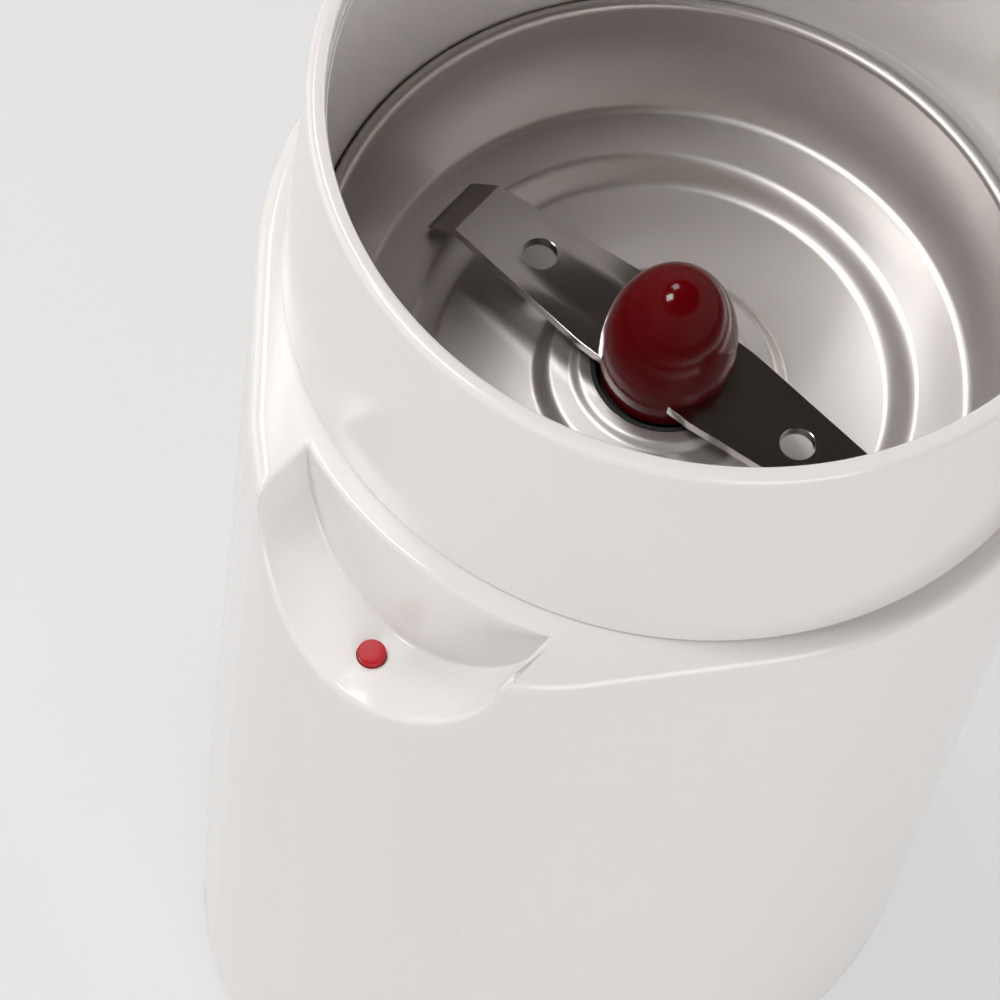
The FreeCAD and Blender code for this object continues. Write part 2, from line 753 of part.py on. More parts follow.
def make_blade():
    half, rise = S.blade_half_length, S.blade_gauge
    lean = math.radians(SIZES["blade_tip_degrees"])
    out, fall = S.blade_tip_length * math.cos(lean), S.blade_tip_length * math.sin(lean)
    skew_x, skew_z = rise * math.sin(lean), rise * math.cos(lean)
    side = plate("blade_side", [
        (-half - out, blade_top - fall), (-half - out - skew_x, blade_top - fall - skew_z),
        (-half - skew_x * 0.4, blade_level), (half + skew_x * 0.4, blade_level),
        (half + out + skew_x, blade_top - fall - skew_z), (half + out, blade_top - fall),
        (half, blade_top), (-half, blade_top),
    ], -S.blade_root_width, S.blade_root_width * 2, "XZ_Plane")
    root, tip, full = S.blade_root_width / 2, S.blade_tip_width / 2, half + S.blade_tip_length * 1.5
    below = blade_level - S.cut_margin
    plan = plate("blade_plan", [
        (-full, -tip), (-half, -tip), (-S.hub_radius, -root), (S.hub_radius, -root), (half, -tip), (full, -tip),
        (full, tip), (half, tip), (S.hub_radius, root), (-S.hub_radius, root), (-half, tip), (-full, tip),
    ], below, S.cut_margin * 2)
    holes = [cylinder("blade_eye", S.spindle_radius + S.fit_gap, S.cut_margin * 2, z=below)]
    for sign in (-1, 1):
        distance = S.blade_hole_distance * sign
        holes.append(cylinder("blade_hole", S.blade_hole_radius, S.cut_margin * 2, distance, 0, below))
    blade = cut("blade_cut", common("blade_strip", side, plan), fuse("blade_holes", holes))
    keep(place(blade, turn=BLADE_TURN), "blade")


def make_hub():
    gap = S.fit_gap
    waist = blade_top + S.hub_waist_height
    cap = lathe("hub_cap", [(0, blade_top), (S.hub_radius, blade_top), (S.hub_radius, waist), (0, waist)])
    lengths = {"Radius1": S.hub_dome_height, "Radius2": S.hub_radius, "Radius3": S.hub_radius}
    feature(cap, "AdditiveEllipsoid", lengths, z=waist).Angle1 = 0
    drill(cap, S.insert_radius + gap, S.insert_height + gap, z=blade_top)
    keep(cap, "hub_cap")
    keep(tube("insert", S.spindle_radius + gap, S.insert_radius, blade_top, blade_top + S.insert_height), "hub_insert")
    bore, foot, ease = S.spindle_radius + gap, S.hub_foot_radius, S.foot_ease
    skirt = lathe("skirt", [
        (bore, skirt_low), (foot - ease, skirt_low), (foot, skirt_low + ease, ease),
        (S.hub_radius, blade_level), (S.hub_radius, blade_top), (bore, blade_top)])
    slot = S.blade_root_width / 2 + gap
    block(skirt, -S.hub_radius - 1, S.hub_radius + 1, -slot, slot, blade_level, blade_top + 1, "SubtractiveBox")
    keep(place(skirt, turn=BLADE_TURN), "hub_skirt")


# Shaft, bearings and the plate that carries the motor

def make_shaft():
    tip = blade_top + S.insert_height - 0.5
    keep(lathe("shaft_turned", [
        (0, shaft_bottom), (S.shaft_radius - 0.5, shaft_bottom), (S.shaft_radius, shaft_bottom + 0.5),
        (S.shaft_radius, skirt_low), (S.spindle_radius, skirt_low), (S.spindle_radius, tip - 0.5),
        (S.spindle_radius - 0.5, tip), (0, tip)]), "shaft")
    washer_top = plate_bottom - S.part_gap
    keep(tube("washer", shaft_hole, S.bearing_radius, washer_top - 1.0, washer_top), "thrust_washer")


def make_bearings():
    keep(tube("upper_bush", running_hole, S.bearing_radius, bearing_seat, felt_bottom), "upper_bearing")
    keep(tube("felt", S.shaft_radius + S.part_gap, S.bearing_radius, felt_bottom, bearing_tube_top), "oil_felt")
    keep(tube("lower_bush", running_hole, S.bearing_radius, lower_bearing_bottom,
              lower_bearing_bottom + S.bearing_height), "lower_bearing")
    pad = lathe("pad", [(0, lower_bearing_bottom - 1.5), (S.bearing_radius, lower_bearing_bottom - 1.5),
                        (S.bearing_radius, lower_bearing_bottom), (0, lower_bearing_bottom)])
    keep(pad, "thrust_pad")


def make_motor_plate():
    inner, outer = S.bearing_radius + S.fit_gap, bearing_tube_radius
    motor_plate = lathe("motor_plate", [
        (S.bearing_radius - 0.8, plate_bottom), (S.motor_plate_radius, plate_bottom),
        (S.motor_plate_radius, skirt_bottom), (outer, skirt_bottom), (outer, bearing_tube_top),
        (inner, bearing_tube_top), (inner, bearing_seat), (S.bearing_radius - 0.8, bearing_seat)])
    for sign in (-1, 1):
        peg(motor_plate, S.post_radius, S.upper_post_length + 0.5, 0, S.bolt_circle * sign, field_top)
    for sign in (-1, 1):
        drill(motor_plate, S.bolt_radius + S.fit_gap, S.upper_post_length, 0, S.bolt_circle * sign, field_top)
    for angle in PLATE_SCREW_ANGLES:
        x, y = polar(S.plate_screw_circle, angle)
        drill(motor_plate, S.screw_radius + S.fit_gap, S.motor_plate_thickness * 2, x, y,
              plate_bottom - S.motor_plate_thickness / 2)
    drill(motor_plate, S.screw_radius + S.fit_gap, S.motor_plate_thickness * 0.8, 0, -bracket_screw_distance,
          plate_bottom)
    keep(motor_plate, "motor_plate")
    screws = []
    for angle in PLATE_SCREW_ANGLES:
        x, y = polar(S.plate_screw_circle, angle)
        length = S.motor_plate_thickness + S.plate_boss_height - 1.2
        screws.append(machine_screw("plate_screw", x, y, plate_bottom, length))
    keep(group("plate_screw_set", screws), "plate_screws")


# Field core and coils

def make_field():
    half_x, half_y = S.field_length_x / 2, S.field_width_y / 2
    frame = plate("field_frame", rectangle(-half_x, half_x, -half_y, half_y), field_bottom, field_height)
    round_edges(frame, S.field_corner_radius, lambda edge: abs(edge.tangentAt(edge.FirstParameter).z) > 0.99)
    inner_x, inner_y = half_x - S.field_yoke, half_y - S.field_yoke
    window = box("field_window", -inner_x, inner_x, -inner_y, inner_y, field_bottom - 1, field_top + 1)
    shoe_radius = S.field_bore_radius + S.pole_shoe_thickness
    neck, shoe = S.pole_neck_width / 2, S.pole_shoe_width / 2
    necks = box("pole_necks", -half_x + 2, half_x - 2, -neck, neck, field_bottom, field_top)
    ring = cylinder("shoe_ring", shoe_radius, field_height, z=field_bottom)
    band = box("shoe_band", -shoe_radius - 1, shoe_radius + 1, -shoe, shoe, field_bottom, field_top)
    poles = fuse("field_poles", [necks, common("pole_shoes", ring, band)])
    holes = [cylinder("field_bore", S.field_bore_radius, field_height + 2, z=field_bottom - 1)]
    for sign in (-1, 1):
        holes.append(cylinder("field_bolt_hole", S.bolt_radius + S.fit_gap, field_height + 2,
                              0, S.bolt_circle * sign, field_bottom - 1))
    walls = fuse("field_iron", [cut("field_walls", frame, window), poles])
    keep(cut("field_core_cut", walls, fuse("field_holes", holes)), "field_core")
    gap, turn_width = S.coil_clearance, S.coil_thickness
    for side, sign in SIDES:
        near, far = shoe_radius + gap, inner_x - gap
        x0, x1 = (near, far) if sign > 0 else (-far, -near)
        outer_y, outer_z = neck + gap + turn_width, gap + turn_width
        coil = new_body("coil_" + side)
        block(coil, x0, x1, -outer_y, outer_y, field_bottom - outer_z, field_top + outer_z)
        round_edges(coil, turn_width * 0.8, lambda edge: abs(edge.tangentAt(edge.FirstParameter).x) > 0.99)
        block(coil, x0 - 1, x1 + 1, -neck - gap, neck + gap, field_bottom - gap, field_top + gap, "SubtractiveBox")
        keep(coil, "field_coil_" + side)


# Armature, commutator and fan on the shaft

def make_armature():
    core = tube("armature", shaft_hole, armature_radius, field_bottom, field_top)
    low, high = armature_radius - S.slot_depth, armature_radius + 1
    half = S.slot_width / 2
    slot = block(core, low, high, -half, half, field_bottom - 1, field_top + 1, "SubtractiveBox")
    repeat(core, slot, S.slot_count)
    keep(core, "armature_core")
    gap, over = S.coil_clearance, S.winding_overhang
    tops = []
    for low_z, high_z in ((field_bottom - gap - over, field_bottom - gap), (field_top + gap, field_top + gap + over)):
        ease = 1.6
        tops.append(lathe("end_winding", [
            (S.shaft_radius + 2, low_z), (S.winding_radius - ease, low_z), (S.winding_radius, low_z + ease, ease),
            (S.winding_radius, high_z - ease), (S.winding_radius - ease, high_z, ease), (S.shaft_radius + 2, high_z)]))
    bar_half = half - gap
    bars = []
    for i in range(SIZES["slot_count"]):
        bar = box("slot_bar", low + gap, S.winding_radius - 0.2, -bar_half, bar_half,
                  field_bottom - gap - 1, field_top + gap + 1)
        bar.Placement.Rotation = FreeCAD.Rotation(FreeCAD.Vector(0, 0, 1), 360 * i / SIZES["slot_count"])
        turned = 2 * math.pi * i / SIZES["slot_count"]
        x0, y0 = low + gap, -bar_half
        bind(bar, "Placement.Base.x", x0 * math.cos(turned) - y0 * math.sin(turned))
        bind(bar, "Placement.Base.y", x0 * math.sin(turned) + y0 * math.cos(turned))
        bars.append(bar)
    keep(fuse("winding_fuse", tops + bars), "armature_windings")
    top = commutator_bottom + S.commutator_height
    drum = tube("drum", shaft_hole, S.commutator_radius, commutator_bottom, top)
    groove = block(drum, S.commutator_radius - 0.8, S.commutator_radius + 1, -0.2, 0.2,
                   commutator_bottom - 1, top + 1, "SubtractiveBox")
    repeat(drum, groove, S.commutator_bar_count)
    keep(drum, "commutator")


def make_fan():
    fan_top = fan_bottom + S.fan_height
    fan = lathe("fan", [
        (shaft_hole, fan_bottom), (S.fan_radius, fan_bottom), (S.fan_radius, fan_bottom + 1.2),
        (S.fan_radius * 0.4, fan_bottom + 1.2), (S.fan_radius * 0.4, fan_top), (shaft_hole, fan_top)])
    half = S.fan_blade_thickness / 2
    vane = block(fan, S.fan_radius * 0.35, S.fan_radius - 0.4, -half, half, fan_bottom + 0.6, fan_top)
    repeat(fan, vane, S.fan_blade_count)
    keep(fan, "cooling_fan")


# Lower bracket, motor bolts and brushes

def make_lower_bracket():
    cup = bearing_tube_radius
    cup_bottom = lower_bearing_bottom - 2.5
    inner, post_side = S.bearing_radius + S.fit_gap, S.post_radius
    bracket = lathe("lower_bracket", [
        (0, cup_bottom), (cup, cup_bottom), (cup, bracket_bottom), (S.bracket_radius, bracket_bottom),
        (S.bracket_radius, bracket_top), (inner, bracket_top), (inner, lower_bearing_bottom - 1.5),
        (0, lower_bearing_bottom - 1.5)])
    for sign in (-1, 1):
        peg(bracket, S.post_radius, S.lower_post_length + 0.5, 0, S.bolt_circle * sign, bracket_top - 0.5)
    holder_low = brush_level - S.brush_height / 2 - S.part_gap / 2 - S.holder_wall
    pad_half = S.brush_width / 2
    pad_near, pad_far = S.commutator_radius + 5, S.bracket_radius - 3
    for sign in (-1, 1):
        x0, x1 = (pad_near, pad_far) if sign > 0 else (-pad_far, -pad_near)
        block(bracket, x0, x1, -pad_half, pad_half, bracket_top - 0.5, holder_low)
    for sign in (-1, 1):
        drill(bracket, S.bolt_radius + S.fit_gap, S.lower_post_length + S.cut_margin,
              0, S.bolt_circle * sign, bracket_bottom - 1)
    window = block(bracket, cup + 3, S.bracket_radius - 4, post_side + 2.5, post_side + 12,
                   bracket_bottom - 1, bracket_top + 1, "SubtractiveBox")
    repeat(bracket, window, 4)
    keep(bracket, "lower_bracket")
    bolts = []
    length = plate_bottom - bracket_bottom - 4
    for sign in (-1, 1):
        bolts.append(machine_screw("motor_bolt", 0, S.bolt_circle * sign, bracket_bottom, length,
                                   S.bolt_radius, S.bolt_radius * 1.8, S.bolt_head_height))
    keep(group("motor_bolt_set", bolts), "motor_bolts")


def make_brushes():
    wide, high = S.brush_width / 2, S.brush_height / 2
    ease, wall = S.part_gap / 2, S.holder_wall
    start = S.commutator_radius + 1.4
    face = S.commutator_radius + S.part_gap
    end = start + S.holder_length
    for side, sign in SIDES:
        def along(x0, x1):
            return (x0, x1) if sign > 0 else (-x1, -x0)

        holder = new_body("holder_" + side)
        block(holder, *along(start, end), -wide - ease - wall, wide + ease + wall,
              brush_level - high - ease - wall, brush_level + high + ease + wall)
        block(holder, *along(start - 1, end + 1), -wide - ease, wide + ease,
              brush_level - high - ease, brush_level + high + ease, "SubtractiveBox")
        keep(holder, "brush_holder_" + side)
        brush = new_body("brush_" + side)
        block(brush, *along(face, face + S.brush_length), -wide, wide, brush_level - high, brush_level + high)
        keep(brush, "carbon_brush_" + side)
        cap = new_body("cap_" + side)
        block(cap, *along(end + S.fit_gap, end + 1.6), -wide - ease - wall, wide + ease + wall,
              brush_level - high - ease - wall, brush_level + high + ease + wall)
        block(cap, *along(end - 1, end + 1.0), -wide, wide, brush_level - high, brush_level + high)
        keep(cap, "brush_cap_" + side)
        wire = S.brush_wire_radius
        low = face + S.brush_length + wire + S.fit_gap
        high_end = end - 1 - wire - S.fit_gap
        spring = coil_spring("spring_" + side, high - 0.4, wire, high_end - low, 6)
        place(spring, low * sign, 0, brush_level, ((0, 1, 0), 90 * sign))
        keep(spring, "brush_spring_" + side)


# Lid switch: pin, rod, return spring, small switch and its bracket

bracket_screw_distance = S.switch_front - 12.4


def make_lid_switch():
    y = -S.pin_distance
    top = recess_floor + S.pin_stand
    pin = lathe("pin", [
        (0, pin_bottom), (S.pin_radius, pin_bottom), (S.pin_radius, pin_flange_top - S.pin_flange_height),
        (S.pin_flange_radius, pin_flange_top - S.pin_flange_height), (S.pin_flange_radius, pin_flange_top),
        (S.pin_radius, pin_flange_top), (S.pin_radius, top - 0.3), (S.pin_radius - 0.3, top, 0.3), (0, top)])
    keep(place(pin, 0, y), "interlock_pin")
    rod = lathe("rod", [
        (0, rod_bottom), (S.rod_tip_radius, rod_bottom), (S.rod_radius, rod_bottom + 1.2),
        (S.rod_radius, rod_collar_bottom), (S.rod_collar_radius, rod_collar_bottom),
        (S.rod_collar_radius, rod_collar_bottom + S.rod_collar_height),
        (S.rod_radius, rod_collar_bottom + S.rod_collar_height), (S.rod_radius, pin_bottom), (0, pin_bottom)])
    keep(place(rod, 0, y), "push_rod")
    wire = S.spring_wire_radius
    height = S.return_spring_length - wire * 2 - S.fit_gap - S.part_gap
    coil_radius = S.rod_radius + S.part_gap + wire
    spring = coil_spring("return_coil", coil_radius, wire, height, SIZES["spring_turns"])
    keep(place(spring, 0, y, spring_seat + wire + S.fit_gap), "return_spring")


def make_switch():
    half = S.switch_width / 2
    front, back = -S.switch_front, -(S.switch_front - S.switch_length)
    web_near, web_far = half + S.fit_gap, half + S.fit_gap + S.web_thickness
    bracket = new_body("switch_arm")
    seat_low = spring_seat - S.spring_seat_thickness
    block(bracket, web_near, web_far, front + 0.6, back + 2.6, switch_bottom - 0.5, plate_bottom)
    block(bracket, -5, web_far, back - 3.4, back + 2.6, plate_bottom - S.web_thickness, plate_bottom)
    seat_front = -S.pin_distance - S.spring_seat_reach
    block(bracket, -4, web_far, seat_front, front + 6.4, seat_low, spring_seat)
    drill(bracket, S.rod_radius + S.part_gap, 4, 0, -S.pin_distance, seat_low - 1)
    drill(bracket, S.screw_radius + S.fit_gap, 6, 0, -bracket_screw_distance, plate_bottom - 4)
    keep(bracket, "switch_bracket")
    keep(machine_screw("arm_screw", 0, -bracket_screw_distance, plate_bottom - S.web_thickness,
                       S.web_thickness + S.motor_plate_thickness * 0.6), "bracket_screw")
    body = new_body("switch_case")
    block(body, -half, half, front, back, switch_bottom, switch_top)
    for sign in (-1, 1):
        near, far = (half - 0.7, half) if sign > 0 else (-half, -half + 0.7)
        block(body, near, far, -S.lever_pivot_distance - 0.8, -S.lever_pivot_distance + 0.8,
              switch_top - 0.5, pivot_level + 0.7)
    drill(body, S.plunger_radius + 0.1, 3.2, 0, -S.plunger_distance, switch_top - 3.1)
    sideways = ((0, 1, 0), 90)
    drill(body, S.lever_pivot_radius + S.fit_gap, S.switch_width + 2, -half - 1, -S.lever_pivot_distance,
          pivot_level, sideways)
    keep(body, "switch_body")
    tabs = []
    for distance in (1.9, 6.4, 10.9):
        tab = new_body("switch_tab")
        block(tab, -0.25, 0.25, front + distance - 1.4, front + distance + 1.4, switch_bottom - 4, switch_bottom)
        tabs.append(tab)
    keep(group("switch_tabs", tabs), "switch_terminals")
    pivot = peg(new_body("pivot"), S.lever_pivot_radius, S.switch_width, -half, -S.lever_pivot_distance,
                pivot_level, sideways)
    keep(pivot.getParentGeoFeatureGroup(), "lever_pivot")
    plunger = lathe("plunger", [
        (0, switch_top - S.plunger_depth), (S.plunger_radius, switch_top - S.plunger_depth),
        (S.plunger_radius, switch_top + S.plunger_stand - 0.4),
        (S.plunger_radius - 0.4, switch_top + S.plunger_stand, 0.4), (0, switch_top + S.plunger_stand)])
    keep(place(plunger, 0, -S.plunger_distance), "switch_plunger")
    lever = new_body("lever")
    wide = S.lever_width / 2
    block(lever, -wide, wide, -S.lever_length, 0, -S.lever_thickness / 2, S.lever_thickness / 2)
    peg(lever, S.lever_barrel_radius, S.lever_width, -wide, 0, 0, sideways)
    drill(lever, S.lever_pivot_radius + S.fit_gap, S.lever_width + 2, -wide - 1, 0, 0, sideways)
    place(lever, 0, -S.lever_pivot_distance, pivot_level, ((-1, 0, 0), SIZES["lever_degrees"]))
    keep(lever, "switch_lever")


# Base cover, feet, screws and cord gland

def make_base():
    inset = S.base_draft + S.housing_wall + S.cover_gap
    low = S.foot_height
    cover = new_body("cover")
    sketch = new_sketch(cover, "XY_Plane", low)
    draw_hull(sketch, S.main_radius - inset, S.nose_radius - inset, S.nose_centre)
    raised = cover.newObject("PartDesign::Pad", "cover_raised")
    raised.Profile = sketch
    bind(raised, "Length", S.cover_thickness)
    half = S.vent_width / 2
    vent = block(cover, S.vent_circle, S.vent_circle + S.vent_length, -half, half, low - 1, cover_top + 1,
                 "SubtractiveBox")
    repeat(cover, vent, S.vent_count)
    screws, feet = [], []
    sink = S.screw_head_height + 0.2
    for angle in BASE_SCREW_ANGLES:
        x, y = polar(S.base_boss_circle, angle)
        drill(cover, S.screw_radius + S.fit_gap, S.cut_margin, x, y, low - 1)
        drill(cover, S.screw_head_radius + 0.2, sink + 1, x, y, low - 1)
        screws.append(machine_screw("base_screw", x, y, low + sink, S.base_screw_length - 2))
    rear = [polar(S.main_radius - S.rear_foot_inset, angle) for angle in REAR_FOOT_ANGLES]
    front = [(sign * S.front_foot_spread, S.front_foot_inset - S.pin_distance) for sign in (-1, 1)]
    for x, y in rear + front:
        drill(cover, S.foot_stud_radius + S.fit_gap, S.cut_margin, x, y, low - 1)
        stud, pad, ease = S.foot_stud_radius, S.foot_radius, 0.8
        foot = lathe("foot", [
            (0, 0), (pad - ease, 0), (pad, ease, ease), (pad, low), (stud, low),
            (stud, cover_top + 1.0), (stud - 0.6, cover_top + 1.8), (0, cover_top + 1.8)])
        feet.append(place(foot, x, y))
    keep(cover, "base_cover")
    keep(group("base_screw_set", screws), "base_screws")
    keep(group("foot_set", feet), "feet")
    wall_out = S.main_radius - draft_at(S.gland_level + S.gland_flange_radius) + S.fit_gap
    wall_in = S.main_radius - S.base_draft - S.housing_wall - S.gland_inner_gap
    bore, neck, lip, flange = S.cord_hole_radius, S.gland_radius - 0.1, S.gland_flange_radius, S.gland_flange
    mouth = nose_front
    gland = lathe("gland", [
        (bore, wall_in - flange), (lip - 0.6, wall_in - flange), (lip - 0.6, wall_in), (neck, wall_in),
        (neck, wall_out), (lip, wall_out), (lip, wall_out + flange - 0.6), (lip - 0.6, wall_out + flange, 0.6),
        (neck, wall_out + flange), (neck - 1.0, mouth - 0.5), (neck - 1.5, mouth, 0.5), (bore, mouth)])
    keep(place(gland, z=S.gland_level, turn=((1, 0, 0), -90)), "cord_gland")


make_housing()
make_collar()
make_bowl()
make_blade()
make_hub()
make_shaft()
make_bearings()
make_motor_plate()
make_field()
make_armature()
make_fan()
make_lower_bracket()
make_brushes()
make_lid_switch()
make_switch()
make_base()
doc.recompute()

faults = []
for thing in doc.Objects:
    if "Invalid" in thing.State or "Error" in thing.State:
        faults.append(f"{thing.Label}: {thing.State}")
for part in parts:
    if part.Shape.isNull() or not part.Shape.isValid():
        faults.append(f"{part.Label}: shape is null or not valid")
if faults:
    raise RuntimeError("; ".join(faults))
os.makedirs("parts", exist_ok=True)
for part in parts:
    part.Shape.exportStep(f"parts/{part.Label}.step")
    print(f"{part.Label}: {len(part.Shape.Solids)} solid, {part.Shape.Volume / 1000:.2f} cm3")
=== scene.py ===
import json
import math

import bmesh
import bpy
from mathutils import Matrix, Vector


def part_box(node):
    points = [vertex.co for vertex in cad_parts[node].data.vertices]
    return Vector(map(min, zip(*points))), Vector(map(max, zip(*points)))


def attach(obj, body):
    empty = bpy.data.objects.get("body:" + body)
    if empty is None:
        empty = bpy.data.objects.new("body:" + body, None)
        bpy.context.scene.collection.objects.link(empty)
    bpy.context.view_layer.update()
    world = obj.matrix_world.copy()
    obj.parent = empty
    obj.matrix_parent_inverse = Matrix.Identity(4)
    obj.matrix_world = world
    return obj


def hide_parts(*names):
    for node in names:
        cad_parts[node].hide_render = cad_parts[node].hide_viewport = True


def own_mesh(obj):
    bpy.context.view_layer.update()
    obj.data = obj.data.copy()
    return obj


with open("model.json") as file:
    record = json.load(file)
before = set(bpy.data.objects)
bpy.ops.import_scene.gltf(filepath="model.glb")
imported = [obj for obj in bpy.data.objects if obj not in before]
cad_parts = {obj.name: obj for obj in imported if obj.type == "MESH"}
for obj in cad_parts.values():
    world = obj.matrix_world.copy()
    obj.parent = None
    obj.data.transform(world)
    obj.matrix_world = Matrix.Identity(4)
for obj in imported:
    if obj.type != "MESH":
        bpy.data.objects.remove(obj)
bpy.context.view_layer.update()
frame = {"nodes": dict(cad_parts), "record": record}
MM = 0.001

# Levels read from the frame, in millimetres
rim_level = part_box("collar")[1].z / MM
ledge_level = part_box("housing")[1].z / MM
bowl_rim_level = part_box("bowl")[1].z / MM
blade_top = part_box("hub_cap")[0].z / MM
hub_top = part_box("hub_cap")[1].z / MM
skirt_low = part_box("hub_skirt")[0].z / MM
pin_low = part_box("interlock_pin")[0].z / MM
pin_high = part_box("interlock_pin")[1].z / MM
collar_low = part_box("collar")[0].z / MM
bowl_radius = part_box("bowl")[1].x / MM
collar_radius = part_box("collar")[1].x / MM
hub_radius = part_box("hub_cap")[1].x / MM
pin_y = (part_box("interlock_pin")[0].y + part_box("interlock_pin")[1].y) / 2 / MM


# Camera: a long lens looking down into the bowl, with the nose turned to the left

CAMERA_ELEVATION = 60.5
CAMERA_ROLL = 11.74
NOSE_TURN = 29.7
RIM_RIGHT, RIM_DOWN, RIM_AHEAD = 20.65, -35.03, 453.30
LENS, SENSOR = 180.0, 36.0
CLIP_START, CLIP_END = 0.01, 10


def make_camera():
    """The camera sees the middle of the collar's rim at a known place to its right, below and ahead."""
    tilt, roll = math.radians(CAMERA_ELEVATION), math.radians(CAMERA_ROLL)
    ahead = Vector((0, math.cos(tilt), -math.sin(tilt)))
    right = Vector((math.cos(roll), math.sin(roll) * math.sin(tilt), math.sin(roll) * math.cos(tilt)))
    up = Vector((-math.sin(roll), math.cos(roll) * math.sin(tilt), math.cos(roll) * math.cos(tilt)))
    turn = Matrix.Rotation(math.radians(NOSE_TURN), 3, "Z")
    ahead, right, up = turn @ ahead, turn @ right, turn @ up
    rim = Vector((0, 0, rim_level))
    place = rim - right * RIM_RIGHT + up * RIM_DOWN - ahead * RIM_AHEAD
    data = bpy.data.cameras.new("camera")
    data.lens, data.sensor_width = LENS, SENSOR
    data.clip_start, data.clip_end = CLIP_START, CLIP_END
    camera = bpy.data.objects.new("camera", data)
    camera.matrix_world = Matrix.Translation(place * MM) @ Matrix((right, up, -ahead)).transposed().to_4x4()
    bpy.context.scene.collection.objects.link(camera)
    bpy.context.scene.camera = camera


make_camera()


# Materials

DRIFT_SCALE, GLOSS_SCALE, GLOSS_DETAIL, FINE_GRAIN, FINE_DETAIL = 18.0, 60.0, 5.0, 900.0, 2.0
HUB_DRIFT_SCALE, METAL_DRIFT_SCALE, METAL_DETAIL, METAL_GRAIN, METAL_BUMP_DETAIL = 40.0, 30.0, 4.0, 400.0, 3.0
PLASTIC_BUMP, METAL_BUMP = 0.0002, 0.0001
# Front-to-back span where the hub's painted shade gives way to the pin's bright red
HUB_REACH, PIN_REACH = -0.03, -0.04


class Nodes:
    """A new procedural material with short calls for its nodes."""

    def __init__(self, name, **shader):
        self.material = bpy.data.materials.new(name)
        self.material.use_nodes = True
        self.tree = self.material.node_tree
        self.shader = self.tree.nodes["Principled BSDF"]
        for socket, value in shader.items():
            self.shader.inputs[socket.replace("_", " ")].default_value = value
        self.place = self.tree.nodes.new("ShaderNodeTexCoord").outputs["Object"]

    def node(self, kind, links=None, **values):
        made = self.tree.nodes.new("ShaderNode" + kind)
        for key, value in values.items():
            setattr(made, key, value)
        for socket, source in (links or {}).items():
            if isinstance(source, bpy.types.NodeSocket):
                self.tree.links.new(source, made.inputs[socket])
            else:
                made.inputs[socket].default_value = source
        return made

    def stretched(self, x, y, z):
        return self.node("Mapping", {"Vector": self.place, "Scale": (x, y, z)}).outputs["Vector"]

    def noise(self, scale, detail=3.0, where=None):
        made = self.node("TexNoise", {"Vector": where or self.place, "Scale": scale, "Detail": detail})
        return made.outputs["Fac"]

    def ramp(self, source, low, high):
        """Source from 0 to 1 mapped to a range of numbers."""
        return self.node("MapRange", {"Value": source, "To Min": low, "To Max": high}).outputs["Result"]

    def colours(self, source, first, second):
        mix = self.node("Mix", {"Factor": source}, data_type="RGBA")
        mix.inputs["A"].default_value = (*first, 1)
        mix.inputs["B"].default_value = (*second, 1)
        return mix.outputs["Result"]

    def link(self, source, socket):
        self.tree.links.new(source, self.shader.inputs[socket])

    def bump(self, height, strength, distance):
        made = self.node("Bump", {"Height": height, "Strength": strength, "Distance": distance})
        self.link(made.outputs["Normal"], "Normal")


def moulded(name, first, second, low, high, lift=0.02, **shader):
    """A moulded plastic: a slight colour drift, uneven gloss and a faint texture."""
    made = Nodes(name, **shader)
    made.link(made.colours(made.noise(DRIFT_SCALE), first, second), "Base Color")
    made.link(made.ramp(made.noise(GLOSS_SCALE, GLOSS_DETAIL), low, high), "Roughness")
    made.bump(made.noise(FINE_GRAIN, FINE_DETAIL), lift, PLASTIC_BUMP)
    return made.material


def metal(name, first, second, low, high, stretch=(1, 1, 1), lift=0.05):
    """A metal with a grain that is drawn out along the axes with the least stretch."""
    made = Nodes(name, Metallic=1.0)
    along = made.stretched(*stretch)
    made.link(made.colours(made.noise(METAL_DRIFT_SCALE, METAL_DETAIL), first, second), "Base Color")
    made.link(made.ramp(made.noise(METAL_GRAIN, METAL_DETAIL, along), low, high), "Roughness")
    made.bump(made.noise(METAL_GRAIN * 2, METAL_BUMP_DETAIL, along), lift, METAL_BUMP)
    return made.material


def red_plastic():
    """One red plastic with painted shade: the hub, down in the bowl's shade, gets a dark red, and the pin out
    in the lit nose gets a bright red.
    """
    made = Nodes("red_gloss_hub_shade_painted", Specular_IOR_Level=0.22)
    place = made.node("SeparateXYZ", {"Vector": made.place}).outputs["Y"]
    # Painted shade: the same red is darkened on the hub, which sits in the bowl's shade, and kept bright
    # towards the pin
    lit_pin_share = made.node("MapRange", {"Value": place, "From Min": HUB_REACH, "From Max": PIN_REACH})
    shaded_hub_red = made.colours(made.noise(HUB_DRIFT_SCALE), (0.105, 0.0004, 0.0020), (0.130, 0.0006, 0.0030))
    mix = made.node("Mix", {"Factor": lit_pin_share.outputs["Result"]}, data_type="RGBA")
    made.tree.links.new(shaded_hub_red, mix.inputs["A"])
    mix.inputs["B"].default_value = (0.46, 0.012, 0.020, 1)
    made.link(mix.outputs["Result"], "Base Color")
    made.link(made.ramp(made.noise(GLOSS_SCALE, GLOSS_DETAIL), 0.08, 0.15), "Roughness")
    made.bump(made.noise(FINE_GRAIN, FINE_DETAIL), 0.01, PLASTIC_BUMP)
    return made.material


